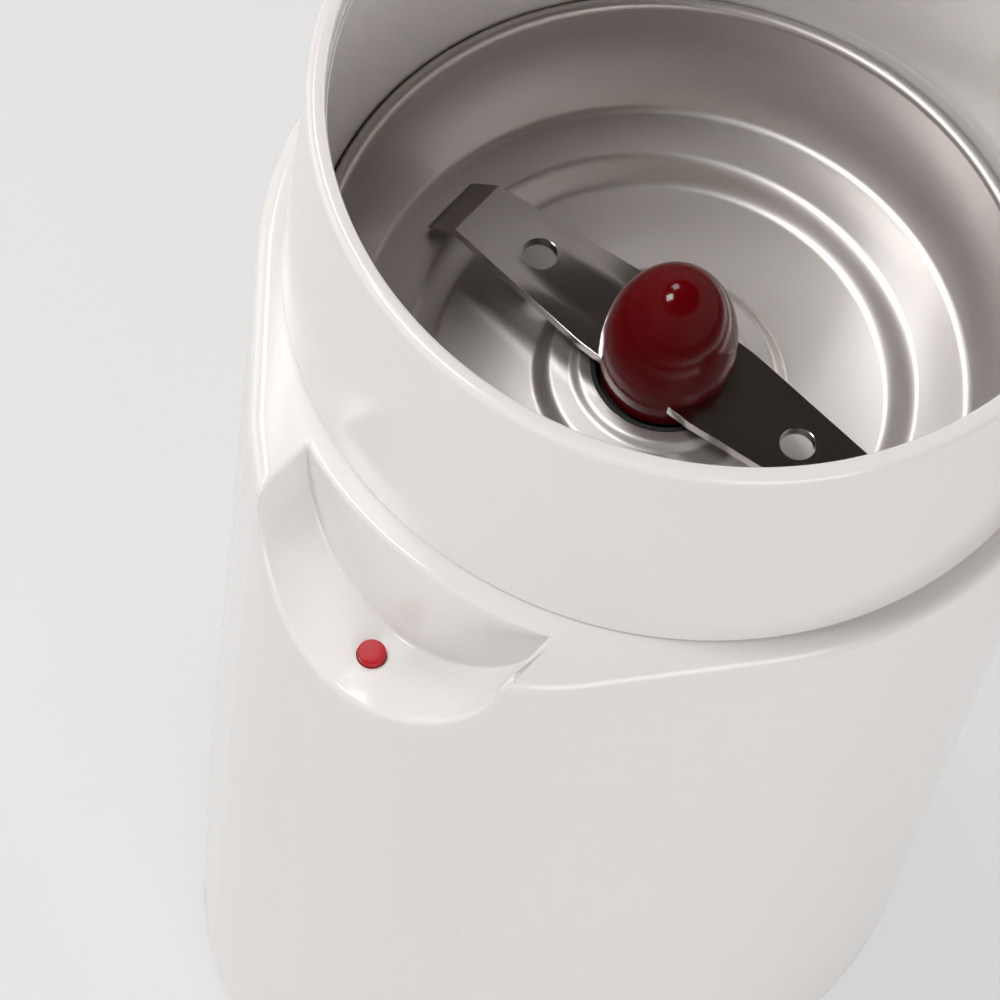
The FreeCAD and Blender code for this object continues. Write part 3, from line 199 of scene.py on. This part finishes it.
MATERIALS = {
    "casing_plastic": moulded("casing_gloss", (0.80, 0.785, 0.77), (0.82, 0.805, 0.79), 0.14, 0.20,
                              lift=0.01, Subsurface_Weight=0.06, Subsurface_Scale=0.002),
    "red_plastic": red_plastic(),
    "bowl_steel": metal("satin_steel", (0.64, 0.615, 0.60), (0.69, 0.665, 0.65), 0.40, 0.46, lift=0.008),
    "blade_steel": metal("ground_steel", (0.42, 0.40, 0.39), (0.46, 0.44, 0.43), 0.10, 0.15,
                         (1, 12, 12), lift=0.006),
    "plain_steel": metal("plain_steel", (0.50, 0.50, 0.50), (0.58, 0.58, 0.58), 0.25, 0.40),
    "lamination_steel": metal("lamination_steel", (0.28, 0.28, 0.30), (0.36, 0.36, 0.38), 0.35, 0.55,
                              (1, 1, 60)),
    "enamelled_copper": metal("enamelled_copper", (0.42, 0.14, 0.04), (0.55, 0.20, 0.07), 0.20, 0.35,
                              (1, 1, 40)),
    "bar_copper": metal("bar_copper", (0.72, 0.36, 0.20), (0.80, 0.42, 0.25), 0.25, 0.40, (1, 1, 20)),
    "brush_brass": metal("brush_brass", (0.70, 0.52, 0.22), (0.78, 0.60, 0.28), 0.25, 0.40),
    "bearing_bronze": metal("bearing_bronze", (0.52, 0.33, 0.16), (0.60, 0.40, 0.20), 0.35, 0.50),
    "cast_aluminium": metal("cast_aluminium", (0.60, 0.61, 0.62), (0.70, 0.71, 0.72), 0.40, 0.58, lift=0.15),
    "carbon": moulded("carbon", (0.020, 0.020, 0.022), (0.035, 0.035, 0.038), 0.55, 0.75),
    "dark_plastic": moulded("dark_plastic", (0.020, 0.020, 0.022), (0.032, 0.032, 0.035), 0.35, 0.50),
    "white_plastic": moulded("white_plastic", (0.70, 0.70, 0.68), (0.76, 0.76, 0.74), 0.30, 0.45),
    "dark_rubber": moulded("dark_rubber", (0.018, 0.018, 0.018), (0.030, 0.030, 0.030), 0.55, 0.75, lift=0.1),
    "grey_felt": moulded("grey_felt", (0.30, 0.29, 0.27), (0.38, 0.37, 0.35), 0.85, 1.0, lift=0.4),
}


def dress_nodes():
    """Every piece carried over from the frame gets the material of its slot."""
    for part in frame["record"]["subparts"]:
        piece = frame["nodes"][part["node"]]
        piece.data.materials.clear()
        piece.data.materials.append(MATERIALS[part["material_slot"]])


dress_nodes()


# Mesh helpers, all lengths in millimetres

TURNS = 288
ARC = 12
SHARP = math.radians(32)
WELD, SLIVER, ON_AXIS = 1e-4, 1e-5, 1e-6


def rounded(corners):
    """Replace each corner (x, y, radius) of an open line with an arc that is tangent to both sides."""
    line = []
    for i, corner in enumerate(corners):
        here = Vector(corner[:2])
        radius = corner[2] if len(corner) > 2 else 0
        if not radius or i in (0, len(corners) - 1):
            line.append(here)
            continue
        before = (Vector(corners[i - 1][:2]) - here).normalized()
        after = (Vector(corners[i + 1][:2]) - here).normalized()
        half = before.angle(after) / 2
        centre = here + (before + after).normalized() * (radius / math.sin(half))
        first = here + before * (radius / math.tan(half)) - centre
        sweep = first.angle_signed(here + after * (radius / math.tan(half)) - centre)
        for step in range(ARC + 1):
            angle = -sweep * step / ARC
            turned_x = first.x * math.cos(angle) - first.y * math.sin(angle)
            turned_y = first.x * math.sin(angle) + first.y * math.cos(angle)
            line.append(centre + Vector((turned_x, turned_y)))
    return line


def finish_mesh(name, build, body, slot, nodes=()):
    """Turn a bmesh in millimetres into a shaded piece on a body, in place of CAD nodes."""
    bmesh.ops.remove_doubles(build, verts=build.verts, dist=WELD)
    bmesh.ops.recalc_face_normals(build, faces=build.faces)
    bmesh.ops.scale(build, vec=(MM, MM, MM), verts=build.verts)
    mesh = bpy.data.meshes.new(name)
    build.to_mesh(mesh)
    build.free()
    return add_piece(name, mesh, body, slot, nodes)


def add_piece(name, mesh, body, slot, nodes=(), sharp=SHARP):
    """Shade a mesh in metres, give it its slot's material and hang it on its body."""
    mesh.shade_smooth()
    mesh.set_sharp_from_angle(angle=sharp)
    mesh.materials.clear()
    mesh.materials.append(MATERIALS[slot])
    piece = bpy.data.objects.new(name, mesh)
    bpy.context.scene.collection.objects.link(piece)
    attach(piece, body)
    if nodes:
        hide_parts(*nodes)
    return piece


def revolve(build, line, y=0.0):
    """Turn a closed outline of (radius, height) points about a vertical axis at y."""
    rings = []
    for radius, height in line:
        ring = []
        for step in range(TURNS):
            angle = 2 * math.pi * step / TURNS
            ring.append(build.verts.new((radius * math.cos(angle), y + radius * math.sin(angle), height)))
        rings.append(ring)
    for i, ring in enumerate(rings):
        following = rings[(i + 1) % len(rings)]
        if line[i][0] < ON_AXIS and line[(i + 1) % len(line)][0] < ON_AXIS:
            continue
        for step in range(TURNS):
            beside = (step + 1) % TURNS
            build.faces.new((ring[step], ring[beside], following[beside], following[step]))


def turned(name, corners, body, slot, nodes, y=0.0):
    """A turned piece from the corners of its outline."""
    build = bmesh.new()
    revolve(build, rounded(corners), y)
    bmesh.ops.dissolve_degenerate(build, dist=SLIVER, edges=build.edges)
    return finish_mesh(name, build, body, slot, nodes)


def prism(name, outline, low, high):
    """A scratch solid with an (x, y) outline from low to high."""
    build = bmesh.new()
    floor = [build.verts.new((x, y, low)) for x, y in outline]
    face = build.faces.new(floor)
    raised = bmesh.ops.extrude_face_region(build, geom=[face])["geom"]
    raised = [item for item in raised if isinstance(item, bmesh.types.BMVert)]
    bmesh.ops.translate(build, vec=(0, 0, high - low), verts=raised)
    bmesh.ops.recalc_face_normals(build, faces=build.faces)
    mesh = bpy.data.meshes.new(name)
    build.to_mesh(mesh)
    build.free()
    scratch = bpy.data.objects.new(name, mesh)
    bpy.context.scene.collection.objects.link(scratch)
    return scratch


def circle(radius, x=0.0, y=0.0, steps=96):
    return [(x + radius * math.cos(2 * math.pi * i / steps), y + radius * math.sin(2 * math.pi * i / steps))
            for i in range(steps)]


def carve(target, tools, operation):
    """Apply boolean modifiers and delete the tools."""
    for tool in tools:
        step = target.modifiers.new("carve", "BOOLEAN")
        step.operation, step.object, step.solver = operation, tool, "EXACT"
    bake_modifiers(target)
    for tool in tools:
        bpy.data.objects.remove(tool)


def bake_modifiers(target):
    """Give the target the mesh that its modifiers make."""
    bpy.context.view_layer.update()
    shape = bpy.data.meshes.new_from_object(target.evaluated_get(bpy.context.evaluated_depsgraph_get()))
    target.modifiers.clear()
    target.data = shape


# Collar

COLLAR_BORE, COLLAR_INNER, COLLAR_RIM_OUTER = 36.5, 36.15, 38.3
RIM_ROUND, LIP_HEIGHT, GROOVE = 0.8, 3.2, 0.3
SKIRT_OUTER, SKIRT_INNER, SEAT_DROP = 37.5, 35.4, 2.8


def make_collar():
    seat_level = bowl_rim_level - SEAT_DROP
    turned("collar_shell", [
        (COLLAR_BORE, rim_level - LIP_HEIGHT / 2),
        (COLLAR_BORE, rim_level, RIM_ROUND * 0.7),
        (COLLAR_RIM_OUTER, rim_level, RIM_ROUND),
        (collar_radius, ledge_level + GROOVE, 0.15),
        (collar_radius - GROOVE, ledge_level, 0.0),
        (SKIRT_OUTER, ledge_level),
        (SKIRT_OUTER, collar_low),
        (SKIRT_INNER, collar_low),
        (SKIRT_INNER, seat_level),
        (COLLAR_INNER, seat_level),
        (COLLAR_INNER, rim_level - LIP_HEIGHT, 0.15),
        (COLLAR_BORE, rim_level - LIP_HEIGHT, 0.12),
        (COLLAR_BORE, rim_level - LIP_HEIGHT * 0.6),
    ], "frame", "casing_plastic", ["collar"])


# Bowl

GAUGE, ROLL, HEM = 0.6, 0.8, 1.0
ROLL_BEND = ROLL * 0.999
WALL_ROUND, TOE_ROUND, KNEE, STEP_RADIUS, STEP_DEPTH = 12.0, 1.5, math.radians(45), 25.6, 12.7
FLOOR_RADIUS, FLOOR_DEPTH = 22.3, 14.9
BOSS_RADIUS, SHOULDER_RADIUS, SHOULDER_HEIGHT = 13.0, 11.0, 1.5
NECK_RADIUS, BOSS_TOP_RADIUS, BOSS_HEIGHT, BOWL_HOLE = 9.4, 8.2, 2.1, 7.2


def soft_step(outer, start, inner, end):
    """Points down or up an S-shaped step that is level at both ends."""
    line = []
    for i in range(ARC + 1):
        share = (1 - math.cos(math.pi * i / ARC)) / 2
        line.append(Vector((outer + (inner - outer) * i / ARC, start + (end - start) * share)))
    return line


def arc_down(x, z, radius, first, last):
    """Points on a circle from one angle below its outer side to another."""
    turns = [first + (last - first) * i / (ARC * 2) for i in range(ARC * 2 + 1)]
    return [Vector((x + radius * math.cos(turn), z - radius * math.sin(turn))) for turn in turns]


def make_bowl():
    step, floor = bowl_rim_level - STEP_DEPTH, bowl_rim_level - FLOOR_DEPTH
    wall = bowl_radius - ROLL * 2
    shown = rounded([
        (bowl_radius, bowl_rim_level - ROLL - HEM),
        (bowl_radius, bowl_rim_level, ROLL_BEND),
        (wall, bowl_rim_level, ROLL_BEND),
        (wall, bowl_rim_level - ROLL * 2),
    ])
    knee_radius = wall - WALL_ROUND * (1 - math.cos(KNEE))
    knee_level = step + TOE_ROUND * (1 - math.sin(KNEE))
    toe_radius = knee_radius - TOE_ROUND * math.cos(KNEE)
    shown += arc_down(wall - WALL_ROUND, knee_level + WALL_ROUND * math.sin(KNEE), WALL_ROUND, 0, KNEE)
    shown += arc_down(toe_radius, step + TOE_ROUND, TOE_ROUND, KNEE, math.pi / 2)[1:]
    shoulder, top = floor + SHOULDER_HEIGHT, floor + BOSS_HEIGHT
    shown += soft_step(STEP_RADIUS, step, FLOOR_RADIUS, floor)
    shown += soft_step(BOSS_RADIUS, floor, SHOULDER_RADIUS, shoulder)
    shown += soft_step(NECK_RADIUS, shoulder, BOSS_TOP_RADIUS, top)
    shown.append(Vector((BOWL_HOLE, top)))
    build = bmesh.new()
    revolve(build, shown + backed(shown, GAUGE))
    finish_mesh("bowl_sheet", build, "frame", "bowl_steel", ["bowl"])


def backed(line, gauge):
    """The far face of a sheet: the line set off by the gauge to its left, from its end to its start."""
    back = []
    for i, point in enumerate(line):
        along = (line[min(i + 1, len(line) - 1)] - line[max(i - 1, 0)]).normalized()
        back.append(point + Vector((-along.y, along.x)) * gauge)
    return back[::-1]


# Blade and hub

BLADE_GAUGE, HALF_LENGTH, ROOT_WIDTH, TIP_WIDTH = 1.2, 24.1, 10.6, 7.0
TIP_LENGTH, TIP_DEGREES, HOLE_RADIUS, HOLE_PLACE = 3.4, 42.0, 1.75, 16.1
BLADE_EDGE, BLADE_TURN = 0.07, math.radians(1.2)
EDGE_FROM, BLADE_SHARP = math.radians(25), math.radians(12)
UNDERSIDE_SHARE, CUT_OVER, HOLE_OVER = 0.4, 10, 5


def make_blade():
    low = blade_top - BLADE_GAUGE
    lean = math.radians(TIP_DEGREES)
    out, fall = TIP_LENGTH * math.cos(lean), TIP_LENGTH * math.sin(lean)
    skew_x, skew_z = BLADE_GAUGE * math.sin(lean), BLADE_GAUGE * math.cos(lean)
    side = [(-HALF_LENGTH - out, -fall), (-HALF_LENGTH - out - skew_x, -fall - skew_z),
            (-HALF_LENGTH - skew_x * UNDERSIDE_SHARE, -BLADE_GAUGE),
            (HALF_LENGTH + skew_x * UNDERSIDE_SHARE, -BLADE_GAUGE),
            (HALF_LENGTH + out + skew_x, -fall - skew_z), (HALF_LENGTH + out, -fall),
            (HALF_LENGTH, 0), (-HALF_LENGTH, 0)]
    blade = prism("blade_bar", side, -ROOT_WIDTH, ROOT_WIDTH)
    blade.data.transform(Matrix.Translation((0, 0, blade_top)) @ Matrix.Rotation(math.pi / 2, 4, "X"))
    root, tip, full = ROOT_WIDTH / 2, TIP_WIDTH / 2, HALF_LENGTH + TIP_LENGTH * 2
    half = [(full, tip), (HALF_LENGTH, tip), (hub_radius, root)]
    plan = [(-x, -y) for x, y in half] + [(x, -y) for x, y in half[::-1]]
    plan += half + [(-x, y) for x, y in half[::-1]]
    carve(blade, [prism("plan", plan, low - CUT_OVER, blade_top + CUT_OVER)], "INTERSECT")
    holes = [prism("hole", circle(HOLE_RADIUS, side * HOLE_PLACE), low - HOLE_OVER, blade_top + HOLE_OVER)
             for side in (-1, 1)]
    carve(blade, holes, "DIFFERENCE")
    edge = blade.modifiers.new("edge", "BEVEL")
    edge.width, edge.segments, edge.limit_method, edge.angle_limit = BLADE_EDGE, 2, "ANGLE", EDGE_FROM
    bake_modifiers(blade)
    mesh = blade.data
    mesh.transform(Matrix.Diagonal((MM, MM, MM, 1)) @ Matrix.Rotation(BLADE_TURN, 4, "Z"))
    bpy.data.objects.remove(blade)
    add_piece("blade_strip", mesh, "rotor", "blade_steel", ["blade"], BLADE_SHARP)


WAIST, FOOT_RADIUS, FOOT_ROUND, SPINDLE = 0.2, 6.2, 0.6, 2.6
SLOT, SLOT_REACH, SLOT_OVER, DOME_STEPS = 5.35, 9, 1, 32


def make_hub():
    waist = blade_top + WAIST
    dome = hub_top - waist
    turns = [i * math.pi / (2 * DOME_STEPS) for i in range(DOME_STEPS + 1)]
    arc = [(hub_radius * math.cos(turn), waist + dome * math.sin(turn)) for turn in turns]
    turned("hub_dome", [(0, blade_top), (hub_radius, blade_top)] + arc, "rotor", "red_plastic", ["hub_cap"])
    low = blade_top - BLADE_GAUGE
    foot = turned("hub_foot", [
        (SPINDLE, skirt_low), (FOOT_RADIUS, skirt_low, FOOT_ROUND), (hub_radius, low),
        (hub_radius, blade_top), (SPINDLE, blade_top)], "rotor", "red_plastic", ["hub_skirt"])
    outline = [(-SLOT_REACH, -SLOT), (SLOT_REACH, -SLOT), (SLOT_REACH, SLOT), (-SLOT_REACH, SLOT)]
    cutter = prism("slot", outline, low, blade_top + SLOT_OVER)
    cutter.data.transform(Matrix.Diagonal((MM, MM, MM, 1)) @ Matrix.Rotation(BLADE_TURN, 4, "Z"))
    carve(foot, [cutter], "DIFFERENCE")


# Lid pin

PIN_RADIUS, PIN_FLANGE, PIN_STUB, FLANGE_HEIGHT = 1.38, 2.3, 1.5, 1.5


def make_pin():
    low, high = pin_low + PIN_STUB, pin_low + PIN_STUB + FLANGE_HEIGHT
    turned("lid_pin", [
        (0, pin_low), (PIN_RADIUS, pin_low), (PIN_RADIUS, low),
        (PIN_FLANGE, low), (PIN_FLANGE, high), (PIN_RADIUS, high),
        (PIN_RADIUS, pin_high, 0.25), (0, pin_high)], "pin", "red_plastic", ["interlock_pin"], y=pin_y)


# Return spring, drawn as a still coil; the real spring shortens by the pin's travel when the pin is pressed

SPRING_WIRE, SPRING_TURNS, TURN_STEPS, WIRE_SIDES = 0.3, 4, 40, 12


def make_return_spring():
    low, high = (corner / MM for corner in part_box("return_spring"))
    middle = (low + high) / 2
    radius = (high.x - low.x) / 2 - SPRING_WIRE
    length = high.z - low.z
    climb = length - 2 * SPRING_WIRE
    build = bmesh.new()
    rings = []
    for step in range(SPRING_TURNS * TURN_STEPS + 1):
        angle = 2 * math.pi * step / TURN_STEPS
        height = low.z + SPRING_WIRE + climb * step / (SPRING_TURNS * TURN_STEPS)
        ring = []
        for side in range(WIRE_SIDES):
            around = 2 * math.pi * side / WIRE_SIDES
            reach = radius + SPRING_WIRE * math.cos(around)
            out = Vector((reach * math.cos(angle), reach * math.sin(angle), SPRING_WIRE * math.sin(around)))
            ring.append(build.verts.new(Vector((middle.x, middle.y, height)) + out))
        rings.append(ring)
    for ring, following in zip(rings, rings[1:]):
        for side in range(WIRE_SIDES):
            beside = (side + 1) % WIRE_SIDES
            build.faces.new((ring[side], ring[beside], following[beside], following[side]))
    build.faces.new(rings[0])
    build.faces.new(rings[-1])
    spring = finish_mesh("return_coil", build, "frame", "plain_steel", ["return_spring"])
    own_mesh(spring)


# Casing: an outer and an inner skin, each a grid of columns from the collar's mouth out and down to the base

MAIN_RADIUS, NOSE_RADIUS, NOSE_CENTRE = 41.1, 26.85, 22.67
MOUTH_RADIUS, WALL, DRAFT, BASE_LEVEL, BASE_ROUND = 37.7, 2.0, 1.0, 3.0, 1.2
RECESS_RADIUS, RECESS_BACK, LIP = 14.7, 40.95, 0.7
LEDGE_ROUND, FRONT_ROUND, BACK_ROUND, CORNER_ROUND = 1.4, 0.8, 0.55, 0.45
GLAND_LEVEL, GLAND_RADIUS, PIN_HOLE = 18.0, 5.5, 1.48
HOLE_DEPTH, GLAND_WALL = 25, 10
BEND = [i / 8 * math.pi / 2 for i in range(9)]
FLOOR_STEPS, WALL_STEPS, RECESS_STEPS = 8, 24, 60
NOSE_STEPS, FLANK_STEPS, BACK_STEPS = 20, 20, 90
HARD = 0.0001


class Skin:
    """One face of the casing's wall, set in from the outline and from the recess."""

    def __init__(self, inset, soft):
        self.inset, self.soft = inset, soft
        self.top = ledge_level - inset
        self.radius = RECESS_RADIUS + inset
        self.back = RECESS_BACK - inset
        self.lip = LIP * soft
        self.flat_from = math.sqrt((self.radius + self.lip) ** 2 - (inset + self.lip) ** 2)

    def depth(self, x):
        """How far the recess goes below this face's ledge at a distance from its middle."""
        x = abs(x)
        if x >= self.flat_from:
            return 0.0
        on_lip = self.flat_from * self.radius / (self.radius + self.lip)
        if x > on_lip:
            return self.lip - math.sqrt(max(self.lip ** 2 - (self.flat_from - x) ** 2, 0.0))
        return math.sqrt(self.radius ** 2 - x * x) - self.inset

    def recess_places(self):
        """Distances from the middle of the recess, close together where its side is steep."""
        lip = [self.flat_from - self.lip * math.sin(bend) for bend in BEND[:-1]]
        on_lip = self.flat_from * self.radius / (self.radius + self.lip)
        start = math.asin(on_lip / self.radius)
        round_part = [self.radius * math.sin(start * (1 - i / RECESS_STEPS)) for i in range(RECESS_STEPS + 1)]
        side = [x for x in lip if x > on_lip + 1e-3] + round_part
        return [-x for x in side] + side[-2::-1]

    def drawn_in(self, level):
        """How far the draft and the inset bring the wall in at a level."""
        return self.inset + DRAFT * (ledge_level - level) / (ledge_level - BASE_LEVEL)

    def column(self, recess_x, foot, normal, mouth):
        """Points from the mouth out over the ledge or the recess, and down the wall to the base."""
        depth = self.depth(recess_x) if recess_x is not None else 0.0
        front = (FRONT_ROUND + (LEDGE_ROUND - FRONT_ROUND) * math.exp(-depth)) * self.soft
        back = min(BACK_ROUND * self.soft, depth * 0.4)
        corner = min(CORNER_ROUND * self.soft, depth * 0.3)

        def out(inset):
            if recess_x is None:
                return foot - normal * inset
            return Vector((recess_x, -NOSE_CENTRE - math.sqrt((NOSE_RADIUS - inset) ** 2 - recess_x ** 2)))

        def behind(radius):
            if recess_x is None:
                return mouth.lerp(out(front + self.inset), 0.41)
            return Vector((recess_x, -math.sqrt(radius ** 2 - recess_x ** 2)))

        ledge, floor = self.top, self.top - depth
        points = [(mouth, ledge - WALL * self.soft), (mouth, ledge)]
        edge = behind(self.back - back)
        points.append((mouth.lerp(edge, 0.5), ledge))
        for bend in BEND:
            level = ledge - back * (1 - math.cos(bend))
            points.append((behind(self.back - back * (1 - math.sin(bend))), level))
        for bend in BEND:
            level = floor + corner * (1 - math.sin(bend))
            points.append((behind(self.back + corner * (1 - math.cos(bend))), level))
        near, far = behind(self.back + corner), out(front + self.drawn_in(floor))
        points += [(near.lerp(far, i / FLOOR_STEPS), floor) for i in range(1, FLOOR_STEPS)]
        for bend in BEND:
            level = floor - front * (1 - math.cos(bend))
            points.append((out(front * (1 - math.sin(bend)) + self.drawn_in(level)), level))
        foot_round = BASE_ROUND * self.soft
        start, end = floor - front, BASE_LEVEL + foot_round
        for i in range(1, WALL_STEPS):
            level = start + (end - start) * i / WALL_STEPS
            points.append((out(self.drawn_in(level)), level))
        for bend in BEND:
            level = BASE_LEVEL + foot_round * (1 - math.sin(bend))
            points.append((out(self.drawn_in(level) + foot_round * (1 - math.cos(bend))), level))
        return [(place.x, place.y, level) for place, level in points]

    def columns(self):
        """All columns round the casing, through the recess first."""
        made = []
        for x in self.recess_places():
            mouth = Vector((x, -math.sqrt(MOUTH_RADIUS ** 2 - x * x)))
            made.append(self.column(x, None, None, mouth))
        first_mouth = math.asin(self.flat_from / MOUTH_RADIUS)
        outline = self.outline()
        for i, (foot, normal) in enumerate(outline[1:-1], start=1):
            angle = first_mouth + (2 * math.pi - 2 * first_mouth) * i / (len(outline) - 1)
            mouth = Vector((math.sin(angle), -math.cos(angle))) * MOUTH_RADIUS
            made.append(self.column(None, foot, normal, mouth))
        return made

    def outline(self):
        """Outline points and normals from one end of the recess round the back to the other."""
        lean = math.acos((MAIN_RADIUS - NOSE_RADIUS) / NOSE_CENTRE)
        first = math.asin(self.flat_from / NOSE_RADIUS)
        nose = Vector((0, -NOSE_CENTRE))
        half = []
        for i in range(NOSE_STEPS + 1):
            angle = first + (lean - first) * i / NOSE_STEPS
            normal = Vector((math.sin(angle), -math.cos(angle)))
            half.append((nose + normal * NOSE_RADIUS, normal))
        begin, end = half[-1][0], half[-1][1] * MAIN_RADIUS
        half += [(begin.lerp(end, i / FLANK_STEPS), half[-1][1]) for i in range(1, FLANK_STEPS)]
        for i in range(BACK_STEPS + 1):
            angle = lean + (math.pi - lean) * i / BACK_STEPS
            normal = Vector((math.sin(angle), -math.cos(angle)))
            half.append((normal * MAIN_RADIUS, normal))
        mirrored = [(Vector((-foot.x, foot.y)), Vector((-normal.x, normal.y)))
                    for foot, normal in half[-2::-1]]
        return half + mirrored


def make_casing():
    build = bmesh.new()
    outer, inner = Skin(0.0, 1.0).columns(), Skin(WALL, HARD).columns()
    rings = [[build.verts.new(point) for point in far + near[::-1]] for far, near in zip(outer, inner)]
    for i, ring in enumerate(rings):
        beside = rings[(i + 1) % len(rings)]
        for j in range(len(ring)):
            k = (j + 1) % len(ring)
            build.faces.new((ring[j], beside[j], beside[k], ring[k]))
    casing = finish_mesh("casing_shell", build, "frame", "casing_plastic", ["housing"])
    pin_hole = prism("pin_hole", circle(PIN_HOLE, 0, pin_y), ledge_level - HOLE_DEPTH, ledge_level)
    gland_hole = prism("gland_hole", circle(GLAND_RADIUS), MAIN_RADIUS - GLAND_WALL, MAIN_RADIUS + GLAND_WALL)
    gland_hole.data.transform(Matrix.Translation((0, 0, GLAND_LEVEL)) @ Matrix.Rotation(-math.pi / 2, 4, "X"))
    for cutter in (pin_hole, gland_hole):
        cutter.data.transform(Matrix.Diagonal((MM, MM, MM, 1)))
    carve(casing, [pin_hole, gland_hole], "DIFFERENCE")


make_casing()
make_collar()
make_bowl()
make_blade()
make_hub()
make_pin()
make_return_spring()


# Floor, lamps and world

FLOOR_GLOW, FLOOR_REACH, PAPER_SCALE = 0.7, 3.0, 4.0
DARK_SIDE = (-0.1, 0.2, 0.97)
BOWL_AIM, BODY_AIM = (0, 0, 0.1), (0, 0, 0.06)


def make_floor():
    """A pale paper floor whose own colour lightens it where it is seen, straight or mirrored."""
    build = bmesh.new()
    bmesh.ops.create_grid(build, x_segments=1, y_segments=1, size=FLOOR_REACH)
    mesh = bpy.data.meshes.new("floor")
    build.to_mesh(mesh)
    build.free()
    made = Nodes("floor_paper", Roughness=0.9)
    paper = made.colours(made.noise(PAPER_SCALE), (0.79, 0.79, 0.79), (0.81, 0.81, 0.81))
    made.link(paper, "Base Color")
    glow = made.node("Emission", {"Color": paper})
    ray = made.node("LightPath").outputs
    seen = ray["Is Camera Ray"]
    for kind in ("Is Glossy Ray", "Is Transmission Ray"):
        seen = made.node("Math", {0: seen, 1: ray[kind]}, operation="MAXIMUM").outputs[0]
    share = made.node("Math", {0: seen, 1: FLOOR_GLOW}, operation="MULTIPLY").outputs[0]
    both = made.node("MixShader", {0: share, 1: made.shader.outputs[0], 2: glow.outputs[0]})
    made.tree.links.new(both.outputs[0], made.tree.nodes["Material Output"].inputs["Surface"])
    mesh.materials.append(made.material)
    floor = bpy.data.objects.new("floor", mesh)
    bpy.context.scene.collection.objects.link(floor)


def make_lamp(name, place, aim, size, power):
    """A square soft lamp that faces its aim."""
    data = bpy.data.lights.new(name, "AREA")
    data.shape, data.size, data.energy = "SQUARE", size, power
    lamp = bpy.data.objects.new(name, data)
    lamp.location = place
    lamp.rotation_mode = "QUATERNION"
    lamp.rotation_quaternion = (Vector(aim) - Vector(place)).to_track_quat("-Z", "Y")
    bpy.context.scene.collection.objects.link(lamp)


def make_world():
    """A room that is brown and dim overhead and pale low down."""
    world = bpy.data.worlds.new("studio")
    world.use_nodes = True
    tree = world.node_tree
    background = tree.nodes["Background"]
    place = tree.nodes.new("ShaderNodeTexCoord").outputs["Generated"]
    toward = tree.nodes.new("ShaderNodeVectorMath")
    toward.operation = "DOT_PRODUCT"
    tree.links.new(place, toward.inputs[0])
    toward.inputs[1].default_value = Vector(DARK_SIDE).normalized()
    ramp = tree.nodes.new("ShaderNodeValToRGB")
    stops = ramp.color_ramp.elements
    stops[0].position, stops[0].color = 0.18, (0.55, 0.54, 0.53, 1)
    stops[1].position, stops[1].color = 0.80, (0.045, 0.036, 0.030, 1)
    middle = stops.new(0.48)
    middle.color = (0.17, 0.115, 0.085, 1)
    tree.links.new(toward.outputs["Value"], ramp.inputs["Fac"])
    tree.links.new(ramp.outputs["Color"], background.inputs["Color"])
    bpy.context.scene.world = world


make_floor()
make_world()
make_lamp("window", (-0.364, -0.334, 0.97), BOWL_AIM, 0.26, 4.8)
make_lamp("key", (-0.46, 0.19, 0.97), BOWL_AIM, 0.26, 2.2)
make_lamp("side", (0.75, -0.45, 0.35), BODY_AIM, 0.5, 3.0)
make_lamp("left", (-0.8, -0.3, 0.30), BODY_AIM, 0.5, 1.3)
make_lamp("back", (0.15, 0.85, 0.40), BODY_AIM, 0.5, 2.0)

bpy.context.scene.view_settings.view_transform = "Standard"
